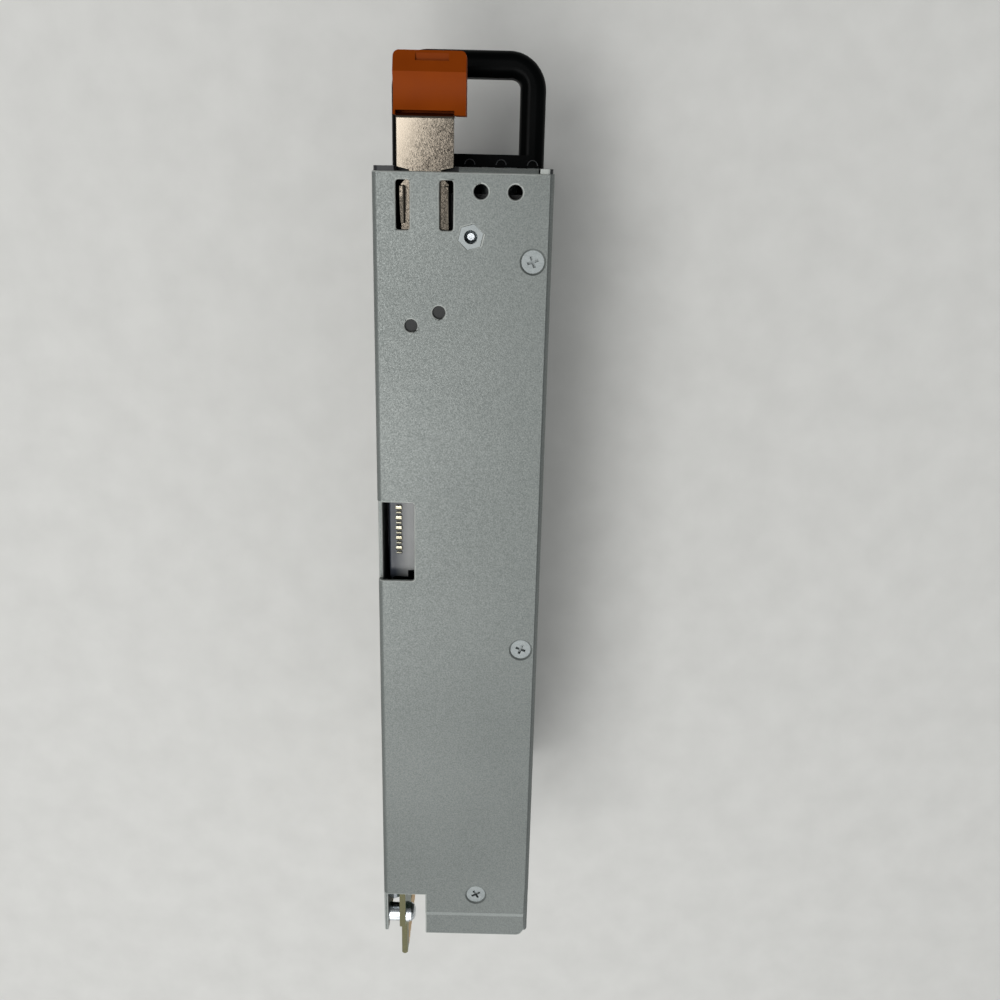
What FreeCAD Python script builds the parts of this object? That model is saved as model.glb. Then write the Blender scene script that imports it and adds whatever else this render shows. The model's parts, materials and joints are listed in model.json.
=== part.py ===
"""Hot swap server power supply, modelled in millimetres as a parametric document.

X runs across the thin case, Y along it (latch and handle end at +Y, card edge at -Y), and
Z up from the narrow wall that it stands on. Every size is a cell of the sheet named Sizes.
"""

import FreeCAD, Part
import math
import os
from types import SimpleNamespace

import Sketcher

CELLS = {
    # case: a folded tray closed by a side cover
    "case_thick": 38.5,
    "case_long": 196.6,
    "case_front_y": 97.5,
    "case_high": 86.0,
    "wall_gauge": 1.0,
    "tray_bend": 1.3,
    "cover_bend": 1.2,
    "inner_bend": 0.3,
    "cover_flange": 7.8,
    "flange_end_gap": 11.0,
    "slip_gap": 0.1,
    # connector end of the tray: lead-in lips and the notches beside the card edge
    "notch_edge_x": -8.15,
    "notch_deep": 13.1,
    "lip_long": 7.7,
    "lip_slope": 1.5,
    "lip_step": 0.7,
    "lip_inset": 0.1,
    "edge_step_long": 14.0,
    "lip_corner": 2.0,
    "tip_corner": 0.8,
    # holes of the narrow wall on the latch side
    "window_wide": 8.6,
    "window_low_y": 4.8,
    "window_long": 19.5,
    "window_drop": 2.0,
    "window_corner": 0.6,
    "slot_wide": 2.9,
    "slot_long": 10.2,
    "slot_low_y": 85.6,
    "slot_spread": 9.25,
    "slot_corner": 0.6,
    "aux_hole_dia": 3.1,
    "aux_hole_x": 3.8,
    "aux_hole_gap": 7.25,
    "aux_hole_y": 93.7,
    # countersunk case screws
    "screw_dia": 2.9,
    "screw_hole_dia": 3.0,
    "screw_head_dia": 4.9,
    "screw_sink_dia": 5.7,
    "screw_long": 6.0,
    "collar_dia": 5.0,
    "collar_deep": 1.2,
    "cover_screw_x": 15.15,
    "recess_long": 2.5,
    "recess_wide": 0.6,
    "recess_deep": 0.9,
    "recess_first_turn": 20.0,
    "recess_next_turn": 25.0,
    "cover_screw_front_y": 79.5,
    "cover_screw_mid_y": -12.8,
    "panel_screw_x": 5.3,
    "panel_screw_y": -85.6,
    # latch: one bent strip of spring steel, its rivets and the press tab
    "latch_x": -8.1,
    "blade_gauge": 0.8,
    "blade_drop": 1.8,
    "blade_root_y": 62.0,
    "blade_root_wide": 12.0,
    "blade_root_long": 12.0,
    "blade_wide": 12.1,
    "blade_tip_y": 109.0,
    "blade_fold": 5.2,
    "fold_bend": 1.1,
    "neck_wide": 7.0,
    "neck_start_y": 96.6,
    "neck_end_y": 97.7,
    "shoulder_y": 98.3,
    "ear_spread": 10.3,
    "ear_low_y": 86.9,
    "ear_long": 7.7,
    "ear_proud": 1.4,
    "ear_ramp": 5.5,
    "rivet_x": -11.1,
    "rivet_y": 65.3,
    "rivet_dx": 6.1,
    "rivet_dy": 3.0,
    "rivet_dia": 2.4,
    "rivet_eye_dia": 3.0,
    "rivet_wall_dia": 2.8,
    "rivet_collar_dia": 3.8,
    "rivet_sunk": 0.8,
    "rivet_play": 0.35,
    "rivet_head": 0.8,
    "tab_left_x": -14.7,
    "tab_wide": 15.1,
    "tab_low_y": 108.6,
    "tab_far_y": 121.0,
    "tab_ridge_y": 116.8,
    "tab_top_drop": 0.8,
    "tab_deep": 7.4,
    "tab_far_drop": 1.9,
    "tab_notch_gap": 0.5,
    "tab_trench": 3.4,
    "tab_clip": 2.0,
    "tab_corner": 1.2,
    "tab_dish": 8.5,
    "tab_recess_long": 6.9,
    "tab_recess_wide": 1.5,
    "tab_recess_deep": 0.5,
    "fit_gap": 0.05,
    # hexagonal clinch standoff, its screw and the indicator board that it carries
    "hex_flats": 4.8,
    "hex_x": 1.75,
    "hex_y": 84.4,
    "hex_turn": 16.0,
    "hex_bore_dia": 2.9,
    "hex_barrel_dia": 4.2,
    "hex_tip_drop": 1.2,
    "hex_tip_dia": 1.5,
    "clinch_long": 7.0,
    "board_thick": 1.6,
    "led_board_long": 19.0,
    "led_board_low_y": 76.0,
    "led_board_low_x": -3.0,
    "led_board_high_y": 93.0,
    "led_wide": 3.0,
    "led_pitch": 5.0,
    "led_first_x": 5.0,
    "pipe_dia": 2.8,
    "pipe_proud": 0.1,
    # end panel with the grille
    "panel_inset": 0.35,
    "panel_corner": 1.2,
    "panel_flange": 10.0,
    "panel_flange_left_x": -0.9,
    "panel_flange_right_x": 15.8,
    "panel_flange_drop": 3.0,
    "blade_gate_gap": 0.4,
    "blade_gate_deep": 6.7,
    "grille_pitch": 3.9,
    "grille_hole": 3.1,
    "grille_radius": 15.6,
    # handle
    "handle_half": 17.7,
    "handle_reach": 25.2,
    "handle_leg": 5.9,
    "handle_bar": 5.8,
    "handle_base": 2.9,
    "handle_drop": 25.0,
    "handle_deep": 10.0,
    "handle_round": 8.5,
    "handle_inner_round": 2.0,
    "handle_edge": 2.4,
    "handle_vent_long": 20.0,
    "handle_vent_high": 4.6,
    "boss_dia": 2.8,
    "boss_high": 0.3,
    "boss_first_x": 0.5,
    "boss_pitch": 7.25,
    # fan
    "fan_side_gap": 0.25,
    "fan_deep": 28.0,
    "fan_screw_rise": 4.0,
    "fan_duct_wall": 1.0,
    "fan_hole_edge": 2.0,
    "fan_hub_dia": 17.0,
    "fan_tip_gap": 0.6,
    "fan_blade_thick": 1.0,
    "fan_hub_long": 17.0,
    "fan_shaft_dia": 2.0,
    "fan_bearing_gap": 0.04,
    "fan_strut": 2.0,
    "fan_corner": 3.0,
    "fan_hub_wall": 1.0,
    "fan_screw_long": 9.0,
    # mains inlet
    "inlet_z": 16.0,
    "inlet_flange_wide": 30.7,
    "inlet_flange_high": 23.7,
    "inlet_flange_thick": 2.0,
    "inlet_body_wide": 27.0,
    "inlet_body_high": 19.8,
    "inlet_body_deep": 21.0,
    "inlet_mouth_wide": 24.2,
    "inlet_mouth_high": 16.4,
    "inlet_mouth_deep": 17.0,
    "inlet_bevel": 4.5,
    "inlet_corner": 1.5,
    "pin_wide": 4.0,
    "pin_thick": 2.0,
    "pin_spread": 7.0,
    "pin_rise": 2.0,
    "pin_recess": 4.6,
    "pin_tail": 6.0,
    "lead_dia": 2.2,
    "lead_first": 1.6,
    "lead_pitch": 2.6,
    # main board and what carries it
    "board_gap": 2.95,
    "board_edge_gap": 1.2,
    "board_end_y": 58.0,
    "board_set_back": 0.7,
    "card_reach": 13.2,
    "card_low_z": 14.0,
    "card_top_step": 5.3,
    "card_bevel": 0.5,
    "card_key_z": 48.0,
    "card_key_wide": 1.6,
    "card_key_deep": 8.0,
    "finger_thick": 0.08,
    "finger_long": 9.0,
    "finger_wide": 1.6,
    "finger_pitch": 2.5,
    "power_finger_wide": 8.0,
    "power_finger_pitch": 10.0,
    "standoff_dia": 4.8,
    "standoff_bore": 2.5,
    "board_screw_dia": 2.4,
    "board_screw_head": 5.3,
    "board_screw_high": 2.5,
    "board_washer": 0.8,
    "board_washer_rim": 0.2,
    "board_screw_long": 5.0,
    "end_post_set": 3.4,
    "spacer_flats": 2.9,
    "spacer_drop": 1.7,
    "spacer_turn": 30.0,
    "spacer_set": 9.9,
    "spacer_long": 9.0,
    "front_post_y": 52.0,
    "post_edge": 2.8,
    # service header behind the window
    "header_left_x": -16.6,
    "header_wide": 5.6,
    "header_drop": 4.4,
    "header_high": 7.2,
    "header_play": 0.6,
    "header_overrun": 1.5,
    "contact_pitch": 2.54,
    "contact_long": 1.0,
    "contact_wide": 1.5,
    "contact_first": 1.3,
    "film_thick": 0.3,
    "film_bend": 1.2,
    "sheet_thick": 0.25,
    # connector panel
    "rear_panel_y": -80.5,
    "rear_hole": 4.2,
    "rear_pitch": 5.2,
    # power parts on the board
    "seat_gap": 0.1,
    "bulk_dia": 25.0,
    "bulk_long": 40.0,
    "bulk_low_y": -18.0,
    "bulk_z": 17.0,
    "bulk_bead": 0.6,
    "boost_ring": 10.0,
    "boost_fat": 5.0,
    "boost_y": 15.0,
    "boost_z": 58.0,
    "line_ring": 8.0,
    "line_fat": 4.3,
    "line_y": 37.0,
    "line_z": 17.0,
    "output_ring": 9.0,
    "output_fat": 5.0,
    "output_y": -36.0,
    "xcap_long": 18.0,
    "xcap_thick": 15.0,
    "xcap_high": 15.0,
    "xcap_low_y": 34.0,
    "xcap_low_z": 33.0,
    "fuse_dia": 5.5,
    "fuse_long": 22.0,
    "fuse_y": 54.0,
    "fuse_low_z": 52.0,
    "fuse_cap": 5.0,
    "relay_long": 15.0,
    "relay_wide": 18.0,
    "relay_high": 15.4,
    "relay_low_y": 33.0,
    "relay_low_z": 52.0,
    "sink_base_z": 36.0,
    "sink_base": 2.0,
    "sink_fin": 4.0,
    "sink_fin_thick": 1.0,
    "sink_wide": 27.0,
    "sink_long": 40.0,
    "sink_front_y": -12.0,
    "sink_rear_y": -62.0,
    "device_wide": 10.0,
    "device_thick": 4.4,
    "device_high": 15.0,
    "device_pitch": 12.0,
    "bridge_long": 14.0,
    "bridge_high": 17.0,
    "core_long": 34.0,
    "core_thick": 16.0,
    "core_high": 24.0,
    "core_leg": 9.0,
    "core_cheek": 5.0,
    "core_low_y": -54.0,
    "core_z": 60.0,
    "winding_wide": 30.0,
    "winding_gap": 0.2,
    "can_dia": 8.0,
    "can_high": 16.0,
    "can_pitch": 9.5,
    "can_low_y": -71.5,
    "can_low_z": 49.0,
    "card_board_low_y": -76.0,
    "card_board_long": 22.0,
    "card_board_z": 12.0,
    "card_board_high": 21.0,
}


class Size:
    """A length that keeps both its value and the sheet formula that it comes from."""

    def __init__(self, text, value):
        self.text = text
        self.value = value

    def _with(self, sign, other, value, swapped=False):
        first, second = (other, self) if swapped else (self, other)
        return Size(f"({first.text} {sign} {second.text})", value)

    def __add__(self, other):
        other = as_size(other)
        return self._with("+", other, self.value + other.value)

    def __radd__(self, other):
        return as_size(other) + self

    def __sub__(self, other):
        other = as_size(other)
        return self._with("-", other, self.value - other.value)

    def __rsub__(self, other):
        return as_size(other) - self

    def __mul__(self, other):
        other = as_size(other)
        return self._with("*", other, self.value * other.value)

    def __rmul__(self, other):
        return as_size(other) * self

    def __truediv__(self, other):
        other = as_size(other)
        return self._with("/", other, self.value / other.value)

    def __neg__(self):
        return Size(f"(-{self.text})", -self.value)


def as_size(thing):
    """Take a plain number as a Size too."""
    if isinstance(thing, Size):
        return thing
    text = repr(float(thing))
    return Size(f"({text})" if thing < 0 else text, float(thing))


def make_sheet(cells):
    """Write the driving sizes into a spreadsheet and hand them back by name."""
    sheet = doc.addObject("Spreadsheet::Sheet", "Sizes")
    for row, (alias, value) in enumerate(cells.items(), start=1):
        sheet.set(f"A{row}", alias)
        sheet.set(f"B{row}", str(value))
        sheet.setAlias(f"B{row}", alias)
    doc.recompute()
    return SimpleNamespace(**{alias: Size(f"Sizes.{alias}", float(value)) for alias, value in cells.items()})


# ---------------------------------------------------------------- building blocks

TURNS = {
    "X": FreeCAD.Rotation(FreeCAD.Vector(0, 1, 0), 90),
    "Y": FreeCAD.Rotation(FreeCAD.Vector(1, 0, 0), -90),
    "Z": FreeCAD.Rotation(),
}
# for each axis: the origin plane that it is square to, and the sense of that plane's normal
PLANES = {"X": ("YZ_Plane", 1), "Y": ("XZ_Plane", -1), "Z": ("XY_Plane", 1)}


def bind(thing, name, size):
    """Tie one property of an object to a formula of the sheet."""
    thing.setExpression(name, as_size(size).text)


def put(thing, at, turn=FreeCAD.Rotation()):
    """Place an object at three sizes, turned about its own corner."""
    thing.Placement = FreeCAD.Placement(FreeCAD.Vector(), turn)
    for axis, size in zip("xyz", at):
        bind(thing, f"Placement.Base.{axis}", size)
    return thing


def box(name, low, high):
    """A block from its low corner to its high corner."""
    solid = doc.addObject("Part::Box", name)
    for side, start, end in zip(("Length", "Width", "Height"), low, high):
        bind(solid, side, as_size(end) - start)
    return put(solid, low)


def rod(name, dia, start, length, along):
    """A round bar that begins at a point and runs along one axis."""
    solid = doc.addObject("Part::Cylinder", name)
    bind(solid, "Radius", dia / 2)
    bind(solid, "Height", length)
    return put(solid, start, TURNS[along])


def cone(name, start_dia, end_dia, start, length, along):
    """A cone that begins at a point and runs along one axis."""
    solid = doc.addObject("Part::Cone", name)
    bind(solid, "Radius1", start_dia / 2)
    bind(solid, "Radius2", end_dia / 2)
    bind(solid, "Height", length)
    return put(solid, start, TURNS[along])


def ring(name, ring_radius, fat, centre, along):
    """A torus whose hole runs along one axis."""
    solid = doc.addObject("Part::Torus", name)
    bind(solid, "Radius1", ring_radius)
    bind(solid, "Radius2", fat)
    return put(solid, centre, TURNS[along])


def hexagon(name, flats, start, length, along, spin=0.0):
    """A hexagonal bar of a given width across its flats, spun about its own axis."""
    solid = doc.addObject("Part::Prism", name)
    solid.Polygon = 6
    bind(solid, "Circumradius", flats / (2 * math.cos(math.pi / 6)))
    bind(solid, "Height", length)
    turn = TURNS[along].multiply(FreeCAD.Rotation(FreeCAD.Vector(0, 0, 1), spin))
    return put(solid, start, turn)


def fuse(name, *parts):
    """Join solids into one."""
    result = doc.addObject("Part::MultiFuse", name)
    result.Shapes = list(parts)
    result.Refine = True
    return result


def group(name, *parts):
    """Keep separate solids together under one name."""
    result = doc.addObject("Part::Compound", name)
    result.Links = list(parts)
    return result


def cut(name, base, *tools):
    """Take solids away from another, and make sure that something went."""
    result = doc.addObject("Part::Cut", name)
    result.Base = base
    result.Tool = tools[0] if len(tools) == 1 else fuse(f"{name}_tools", *tools)
    doc.recompute()
    if result.Shape.Volume > base.Shape.Volume - 1e-6:
        raise RuntimeError(f"{name}: the cut took nothing away")
    return result


def edge_names(shape, along, *places):
    """Names of the straight edges along an axis whose middles lie at one of the given places.

    A place maps x, y or z to a value or to a (low, high) pair.
    """
    way = {"X": FreeCAD.Vector(1, 0, 0), "Y": FreeCAD.Vector(0, 1, 0), "Z": FreeCAD.Vector(0, 0, 1)}[along]
    names = []
    for number, edge in enumerate(shape.Edges, start=1):
        if edge.Curve.TypeId != "Part::GeomLine" or abs(edge.Curve.Direction.dot(way)) < 0.999:
            continue
        middle = edge.CenterOfMass
        if any(all(lies_at(getattr(middle, axis), want) for axis, want in place.items()) for place in places):
            names.append(f"Edge{number}")
    if not names:
        raise RuntimeError(f"no edge along {along} at {places}")
    return names


def lies_at(value, want):
    """Whether a coordinate is at a size, or between two of them."""
    low, high = want if isinstance(want, tuple) else (want, want)
    return as_size(low).value - 0.01 <= value <= as_size(high).value + 0.01


def draw(owner, axis, at, outlines):
    """A sketch square to an axis, at a size along it, from corner lists and (u, v, dia) circles."""
    role, sense = PLANES[axis]
    sketch = owner.newObject("Sketcher::SketchObject", f"{owner.Name}_sketch")
    origin_plane = next(item for item in owner.Origin.OriginFeatures if item.Role == role)
    sketch.AttachmentSupport = (origin_plane, [""])
    sketch.MapMode = "FlatFace"
    bind(sketch, "AttachmentOffset.Base.z", as_size(at) * sense)
    for outline in outlines:
        if isinstance(outline, tuple):
            draw_circle(sketch, *outline)
        else:
            draw_corners(sketch, outline)
    return sketch


def pin_point(sketch, line, end, across, up):
    """Hold one point of a sketch at two sizes from the origin."""
    for kind, size in (("DistanceX", across), ("DistanceY", up)):
        size = as_size(size)
        number = sketch.addConstraint(Sketcher.Constraint(kind, -1, 1, line, end, size.value))
        sketch.setExpression(f"Constraints[{number}]", size.text)


def draw_circle(sketch, across, up, dia):
    """A circle held by its centre and its diameter."""
    across, up, dia = as_size(across), as_size(up), as_size(dia)
    centre = FreeCAD.Vector(across.value, up.value, 0)
    circle = Part.Circle(centre, FreeCAD.Vector(0, 0, 1), dia.value / 2)
    line = sketch.addGeometry(circle, False)
    pin_point(sketch, line, 3, across, up)
    number = sketch.addConstraint(Sketcher.Constraint("Radius", line, dia.value / 2))
    sketch.setExpression(f"Constraints[{number}]", (dia / 2).text)


def draw_corners(sketch, corners):
    """A closed outline of straight lines, each corner held from the origin."""
    points = [FreeCAD.Vector(as_size(u).value, as_size(v).value, 0) for u, v in corners]
    first = sketch.GeometryCount
    for number, point in enumerate(points):
        sketch.addGeometry(Part.LineSegment(point, points[(number + 1) % len(points)]), False)
    for number in range(len(points)):
        follower = first + (number + 1) % len(points)
        sketch.addConstraint(Sketcher.Constraint("Coincident", first + number, 2, follower, 1))
    for number, (across, up) in enumerate(corners):
        pin_point(sketch, first + number, 1, across, up)


def rectangle(low, high):
    """The four corners between two opposite ones."""
    return [low, (high[0], low[1]), high, (low[0], high[1])]


def pad(owner, axis, start, end, *outlines):
    """Fill outlines from one size to another along an axis."""
    feature_sketch = draw(owner, axis, start, outlines)
    feature = owner.newObject("PartDesign::Pad", f"{owner.Name}_pad")
    feature.Profile = feature_sketch
    bind(feature, "Length", as_size(end) - start)
    feature.Reversed = axis == "Y"
    doc.recompute()
    return feature


def pocket(owner, axis, start, end, *outlines):
    """Cut outlines from one size to another along an axis, and make sure that something went."""
    before = owner.Shape.Volume
    feature_sketch = draw(owner, axis, start, outlines)
    feature = owner.newObject("PartDesign::Pocket", f"{owner.Name}_pocket")
    feature.Profile = feature_sketch
    bind(feature, "Length", as_size(end) - start)
    feature.Reversed = axis != "Y"
    doc.recompute()
    if owner.Shape.Volume > before - 1e-6:
        raise RuntimeError(f"{owner.Name}: the pocket took nothing away")
    return feature


def bend(owner, radius, along, *places):
    """Round the edges of a body that lie along an axis at the given places."""
    before = owner.Tip
    names = edge_names(before.Shape, along, *places)
    feature = owner.newObject("PartDesign::Fillet", f"{owner.Name}_bend")
    feature.Base = (before, names)
    bind(feature, "Radius", radius)
    doc.recompute()
    return feature


def body(name):
    """An empty PartDesign body."""
    return doc.addObject("PartDesign::Body", name)


def node(solid, label):
    """Mark a finished sub-part by the label that names its file."""
    solid.Label = label
    finished.append(solid)
    return solid


doc = FreeCAD.newDocument("PowerSupply")
finished = []
s = make_sheet(CELLS)

# places that several pieces share
half = s.case_thick / 2
inner_left = s.wall_gauge - half
inner_right = half - s.wall_gauge
front_y = s.case_front_y
rear_y = front_y - s.case_long
top_under = s.case_high - s.wall_gauge
face_y = front_y + s.wall_gauge
board_left = inner_left + s.board_gap
board_face = board_left + s.board_thick
board_low = s.wall_gauge + s.board_edge_gap
board_high = top_under - s.board_edge_gap
card_high = board_high - s.card_top_step
header_top = s.case_high - s.header_drop
header_low = header_top - s.header_high
indicator_z = top_under - s.clinch_long - s.board_thick
blade_top = top_under - s.blade_drop + s.blade_gauge + s.slip_gap
blade_under = blade_top - s.blade_gauge
tab_top = s.case_high - s.tab_top_drop
handle_top = s.case_high - s.handle_drop
fan_size = 2 * (inner_right - s.fan_side_gap)
fan_duct_dia = fan_size - 2 * s.fan_duct_wall
fan_blade_dia = fan_duct_dia - 2 * s.fan_tip_gap
fan_hole_reach = fan_size / 2 - s.fan_hole_edge
fan_z = handle_top + s.fan_screw_rise - fan_hole_reach


# ---------------------------------------------------------------- case

def both_walls(z_from_top):
    """A height measured down from the latch-side wall, and the same up from the other wall."""
    return s.case_high - z_from_top, as_size(z_from_top)


def screw_places():
    """Where the countersunk screws enter: (x, y) on both narrow walls."""
    return [
        (s.cover_screw_x, s.cover_screw_front_y),
        (s.cover_screw_x, s.cover_screw_mid_y),
        (s.panel_screw_x, s.panel_screw_y),
    ]


def on_both_walls(make, name, depth, length, *dias):
    """Make a round form for every case screw, from a depth below each narrow wall inwards."""
    forms = []
    for number, (x, y) in enumerate(screw_places()):
        forms.append(make(f"{name}_top_{number}", *dias, (x, y, s.case_high - depth - length), length, "Z"))
        turned = dias[::-1]
        forms.append(make(f"{name}_base_{number}", *turned, (x, y, depth), length, "Z"))
    return forms


def lip_outline(outer, inward):
    """Side view of one lead-in lip: the wall steps in towards the middle of the case."""
    start = rear_y + s.lip_long
    knee = start - s.lip_slope
    stepped = outer + inward * s.lip_step
    gauge = inward * s.wall_gauge
    return [
        (start, outer),
        (knee, stepped),
        (rear_y, stepped),
        (rear_y, stepped + gauge),
        (knee, stepped + gauge),
        (start, outer + gauge),
    ]


def nested_sinks(name):
    """The cones that the screw heads press into the sheet under each narrow wall."""
    wide = s.screw_sink_dia - 2 * s.wall_gauge
    return on_both_walls(cone, name, s.wall_gauge, (wide - s.screw_hole_dia) / 2, s.screw_hole_dia, wide)


def chassis_tray():
    """The folded tray: one wide wall and both narrow walls, with every hole of the latch side."""
    tray = body("tray_sheet")
    lip_y = rear_y + s.lip_long
    lip_right = inner_right - s.lip_inset
    channel = [
        (-half, 0),
        (inner_right, 0),
        (inner_right, s.wall_gauge),
        (inner_left, s.wall_gauge),
        (inner_left, top_under),
        (inner_right, top_under),
        (inner_right, s.case_high),
        (-half, s.case_high),
    ]
    pad(tray, "Y", lip_y, front_y, channel)
    bend(tray, s.tray_bend, "Y", {"x": -half, "z": 0}, {"x": -half, "z": s.case_high})
    bend(tray, s.inner_bend, "Y", {"x": inner_left, "z": s.wall_gauge}, {"x": inner_left, "z": top_under})
    pad(tray, "X", s.notch_edge_x, lip_right, lip_outline(s.case_high, -1))
    pad(tray, "X", s.notch_edge_x, lip_right, lip_outline(as_size(0), 1))
    tongue_low, tongue_high = s.tray_bend, s.case_high - s.tray_bend
    pad(tray, "X", -half, inner_left, rectangle((rear_y, tongue_low), (lip_y, tongue_high)))

    notch = rectangle((-half - 1, rear_y - 1), (s.notch_edge_x, rear_y + s.notch_deep))
    pocket(tray, "Z", tongue_high, s.case_high + 1, notch)
    pocket(tray, "Z", as_size(-1), tongue_low, notch)
    step = rectangle((lip_right, rear_y - 1), (half, rear_y + s.edge_step_long))
    pocket(tray, "Z", as_size(-1), s.case_high + 1, step)
    bend(tray, s.tip_corner, "X", {"y": rear_y, "z": tongue_low}, {"y": rear_y, "z": tongue_high})
    bend(tray, s.lip_corner, "Z", {"x": lip_right, "y": rear_y})

    window = rectangle(
        (-half - 1, s.window_low_y), (s.window_wide - half, s.window_low_y + s.window_long))
    pocket(tray, "Z", s.case_high - s.window_drop, s.case_high + 1, window)
    window_ends = ({"x": s.window_wide - half, "z": (top_under, s.case_high)},)
    bend(tray, s.window_corner, "Z", *window_ends)
    slots = []
    for side in (-1, 1):
        middle = s.latch_x + side * s.slot_spread / 2
        low = (middle - s.slot_wide / 2, s.slot_low_y)
        slots.append(rectangle(low, (middle + s.slot_wide / 2, s.slot_low_y + s.slot_long)))
    pocket(tray, "Z", top_under - 1, s.case_high + 1, *slots)
    slot_ends = [{"y": s.slot_low_y, "z": (top_under, s.case_high)}]
    slot_ends.append({"y": s.slot_low_y + s.slot_long, "z": (top_under, s.case_high)})
    bend(tray, s.slot_corner, "Z", *slot_ends)
    rounds = [(s.aux_hole_x + step * s.aux_hole_gap, s.aux_hole_y, s.aux_hole_dia) for step in (0, 1)]
    rounds += [(x, y, s.rivet_wall_dia) for x, y in rivet_places()]
    pocket(tray, "Z", top_under - 1, s.case_high + 1, *rounds)

    sinks = on_both_walls(cone, "sink", as_size(0), s.wall_gauge,
                          s.screw_sink_dia - 2 * s.wall_gauge, s.screw_sink_dia)
    hex_hole = hexagon("hex_hole", s.hex_flats, (s.hex_x, s.hex_y, top_under - 1), s.wall_gauge + 2, "Z",
                       s.hex_turn.value)
    return node(cut("tray", tray, hex_hole, *sinks), "chassis_tray")


def side_cover():
    """The second wide wall, with flanges that tuck under both narrow walls and carry the screws."""
    cover = body("cover_sheet")
    flange_x = inner_right - s.cover_flange
    top, under = top_under, s.wall_gauge
    channel = [
        (flange_x, under),
        (half, under),
        (half, top),
        (flange_x, top),
        (flange_x, top - s.wall_gauge),
        (inner_right, top - s.wall_gauge),
        (inner_right, under + s.wall_gauge),
        (flange_x, under + s.wall_gauge),
    ]
    pad(cover, "Y", rear_y, front_y, channel)
    bend(cover, s.cover_bend, "Y", {"x": half, "z": top}, {"x": half, "z": under})
    inner = [{"x": inner_right, "z": top - s.wall_gauge}, {"x": inner_right, "z": under + s.wall_gauge}]
    bend(cover, s.inner_bend, "Y", *inner)
    step_y = rear_y + s.edge_step_long
    ends = [
        rectangle((flange_x - 1, rear_y - 1), (half + 1, step_y)),
        rectangle((flange_x - 1, front_y - s.flange_end_gap), (inner_right, front_y + 1)),
    ]
    edge_high = top - s.wall_gauge - s.inner_bend
    edge_low = under + s.wall_gauge + s.inner_bend
    pocket(cover, "Z", edge_high, top + 1, *ends)
    pocket(cover, "Z", under - 1, edge_low, *ends)
    corners = [{"y": rear_y, "z": z} for z in (edge_high, edge_low)]
    bend(cover, s.tip_corner, "X", *corners)
    bend(cover, s.tip_corner, "Z", {"x": half, "y": rear_y})

    places = screw_places()[:2]
    collars = []
    bores = []
    for number, (x, y) in enumerate(places):
        for side, wall_z in (("top", top - s.wall_gauge - s.collar_deep), ("base", under + s.wall_gauge)):
            collar_name = f"cover_collar_{side}_{number}"
            collars.append(rod(collar_name, s.collar_dia, (x, y, wall_z), s.collar_deep, "Z"))
        bores.append(rod(f"cover_bore_{number}", s.screw_hole_dia, (x, y, 0), s.case_high, "Z"))
    tools = bores + nested_sinks("cover_sink")
    return node(cut("cover", fuse("cover_with_collars", cover, *collars), *tools), "side_cover")


def case_screws():
    """Countersunk screws of both narrow walls; each head sits a little below its dimple's rim."""
    sunk = (s.screw_sink_dia - s.screw_head_dia) / 2
    head_deep = (s.screw_head_dia - s.screw_dia) / 2
    heads = on_both_walls(cone, "case_head", sunk, head_deep, s.screw_dia, s.screw_head_dia)
    shanks = on_both_walls(rod, "case_shank", sunk + head_deep, s.screw_long - head_deep, s.screw_dia)
    screws = []
    for number, pair in enumerate(zip(heads, shanks)):
        x, y = screw_places()[number // 2]
        depth = sunk if number % 2 else s.case_high - sunk - s.recess_deep
        spin = s.recess_first_turn.value + s.recess_next_turn.value * number
        recess = cross_recess(f"case_recess_{number}", x, y, depth, spin)
        screws.append(cut(f"case_screw_{number}", fuse(f"case_bolt_{number}", *pair), recess))
    return node(group("case_screw_set", *screws), "case_screws")


def cross_recess(name, x, y, low_z, spin):
    """The cross that a screwdriver fits, as two crossed blocks turned by an angle in degrees."""
    arms = []
    for number, angle in enumerate((spin, spin + 90)):
        along = math.radians(angle)
        ways = math.cos(along), math.sin(along)
        corner_x = x - (s.recess_long * ways[0] - s.recess_wide * ways[1]) / 2
        corner_y = y - (s.recess_long * ways[1] + s.recess_wide * ways[0]) / 2
        arm = box(f"{name}_{number}", (corner_x, corner_y, low_z),
                  (corner_x + s.recess_long, corner_y + s.recess_wide, low_z + s.recess_deep))
        arm.Placement = FreeCAD.Placement(arm.Placement.Base, FreeCAD.Rotation(FreeCAD.Vector(0, 0, 1), angle))
        arms.append(arm)
    return fuse(name, *arms)


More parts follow.
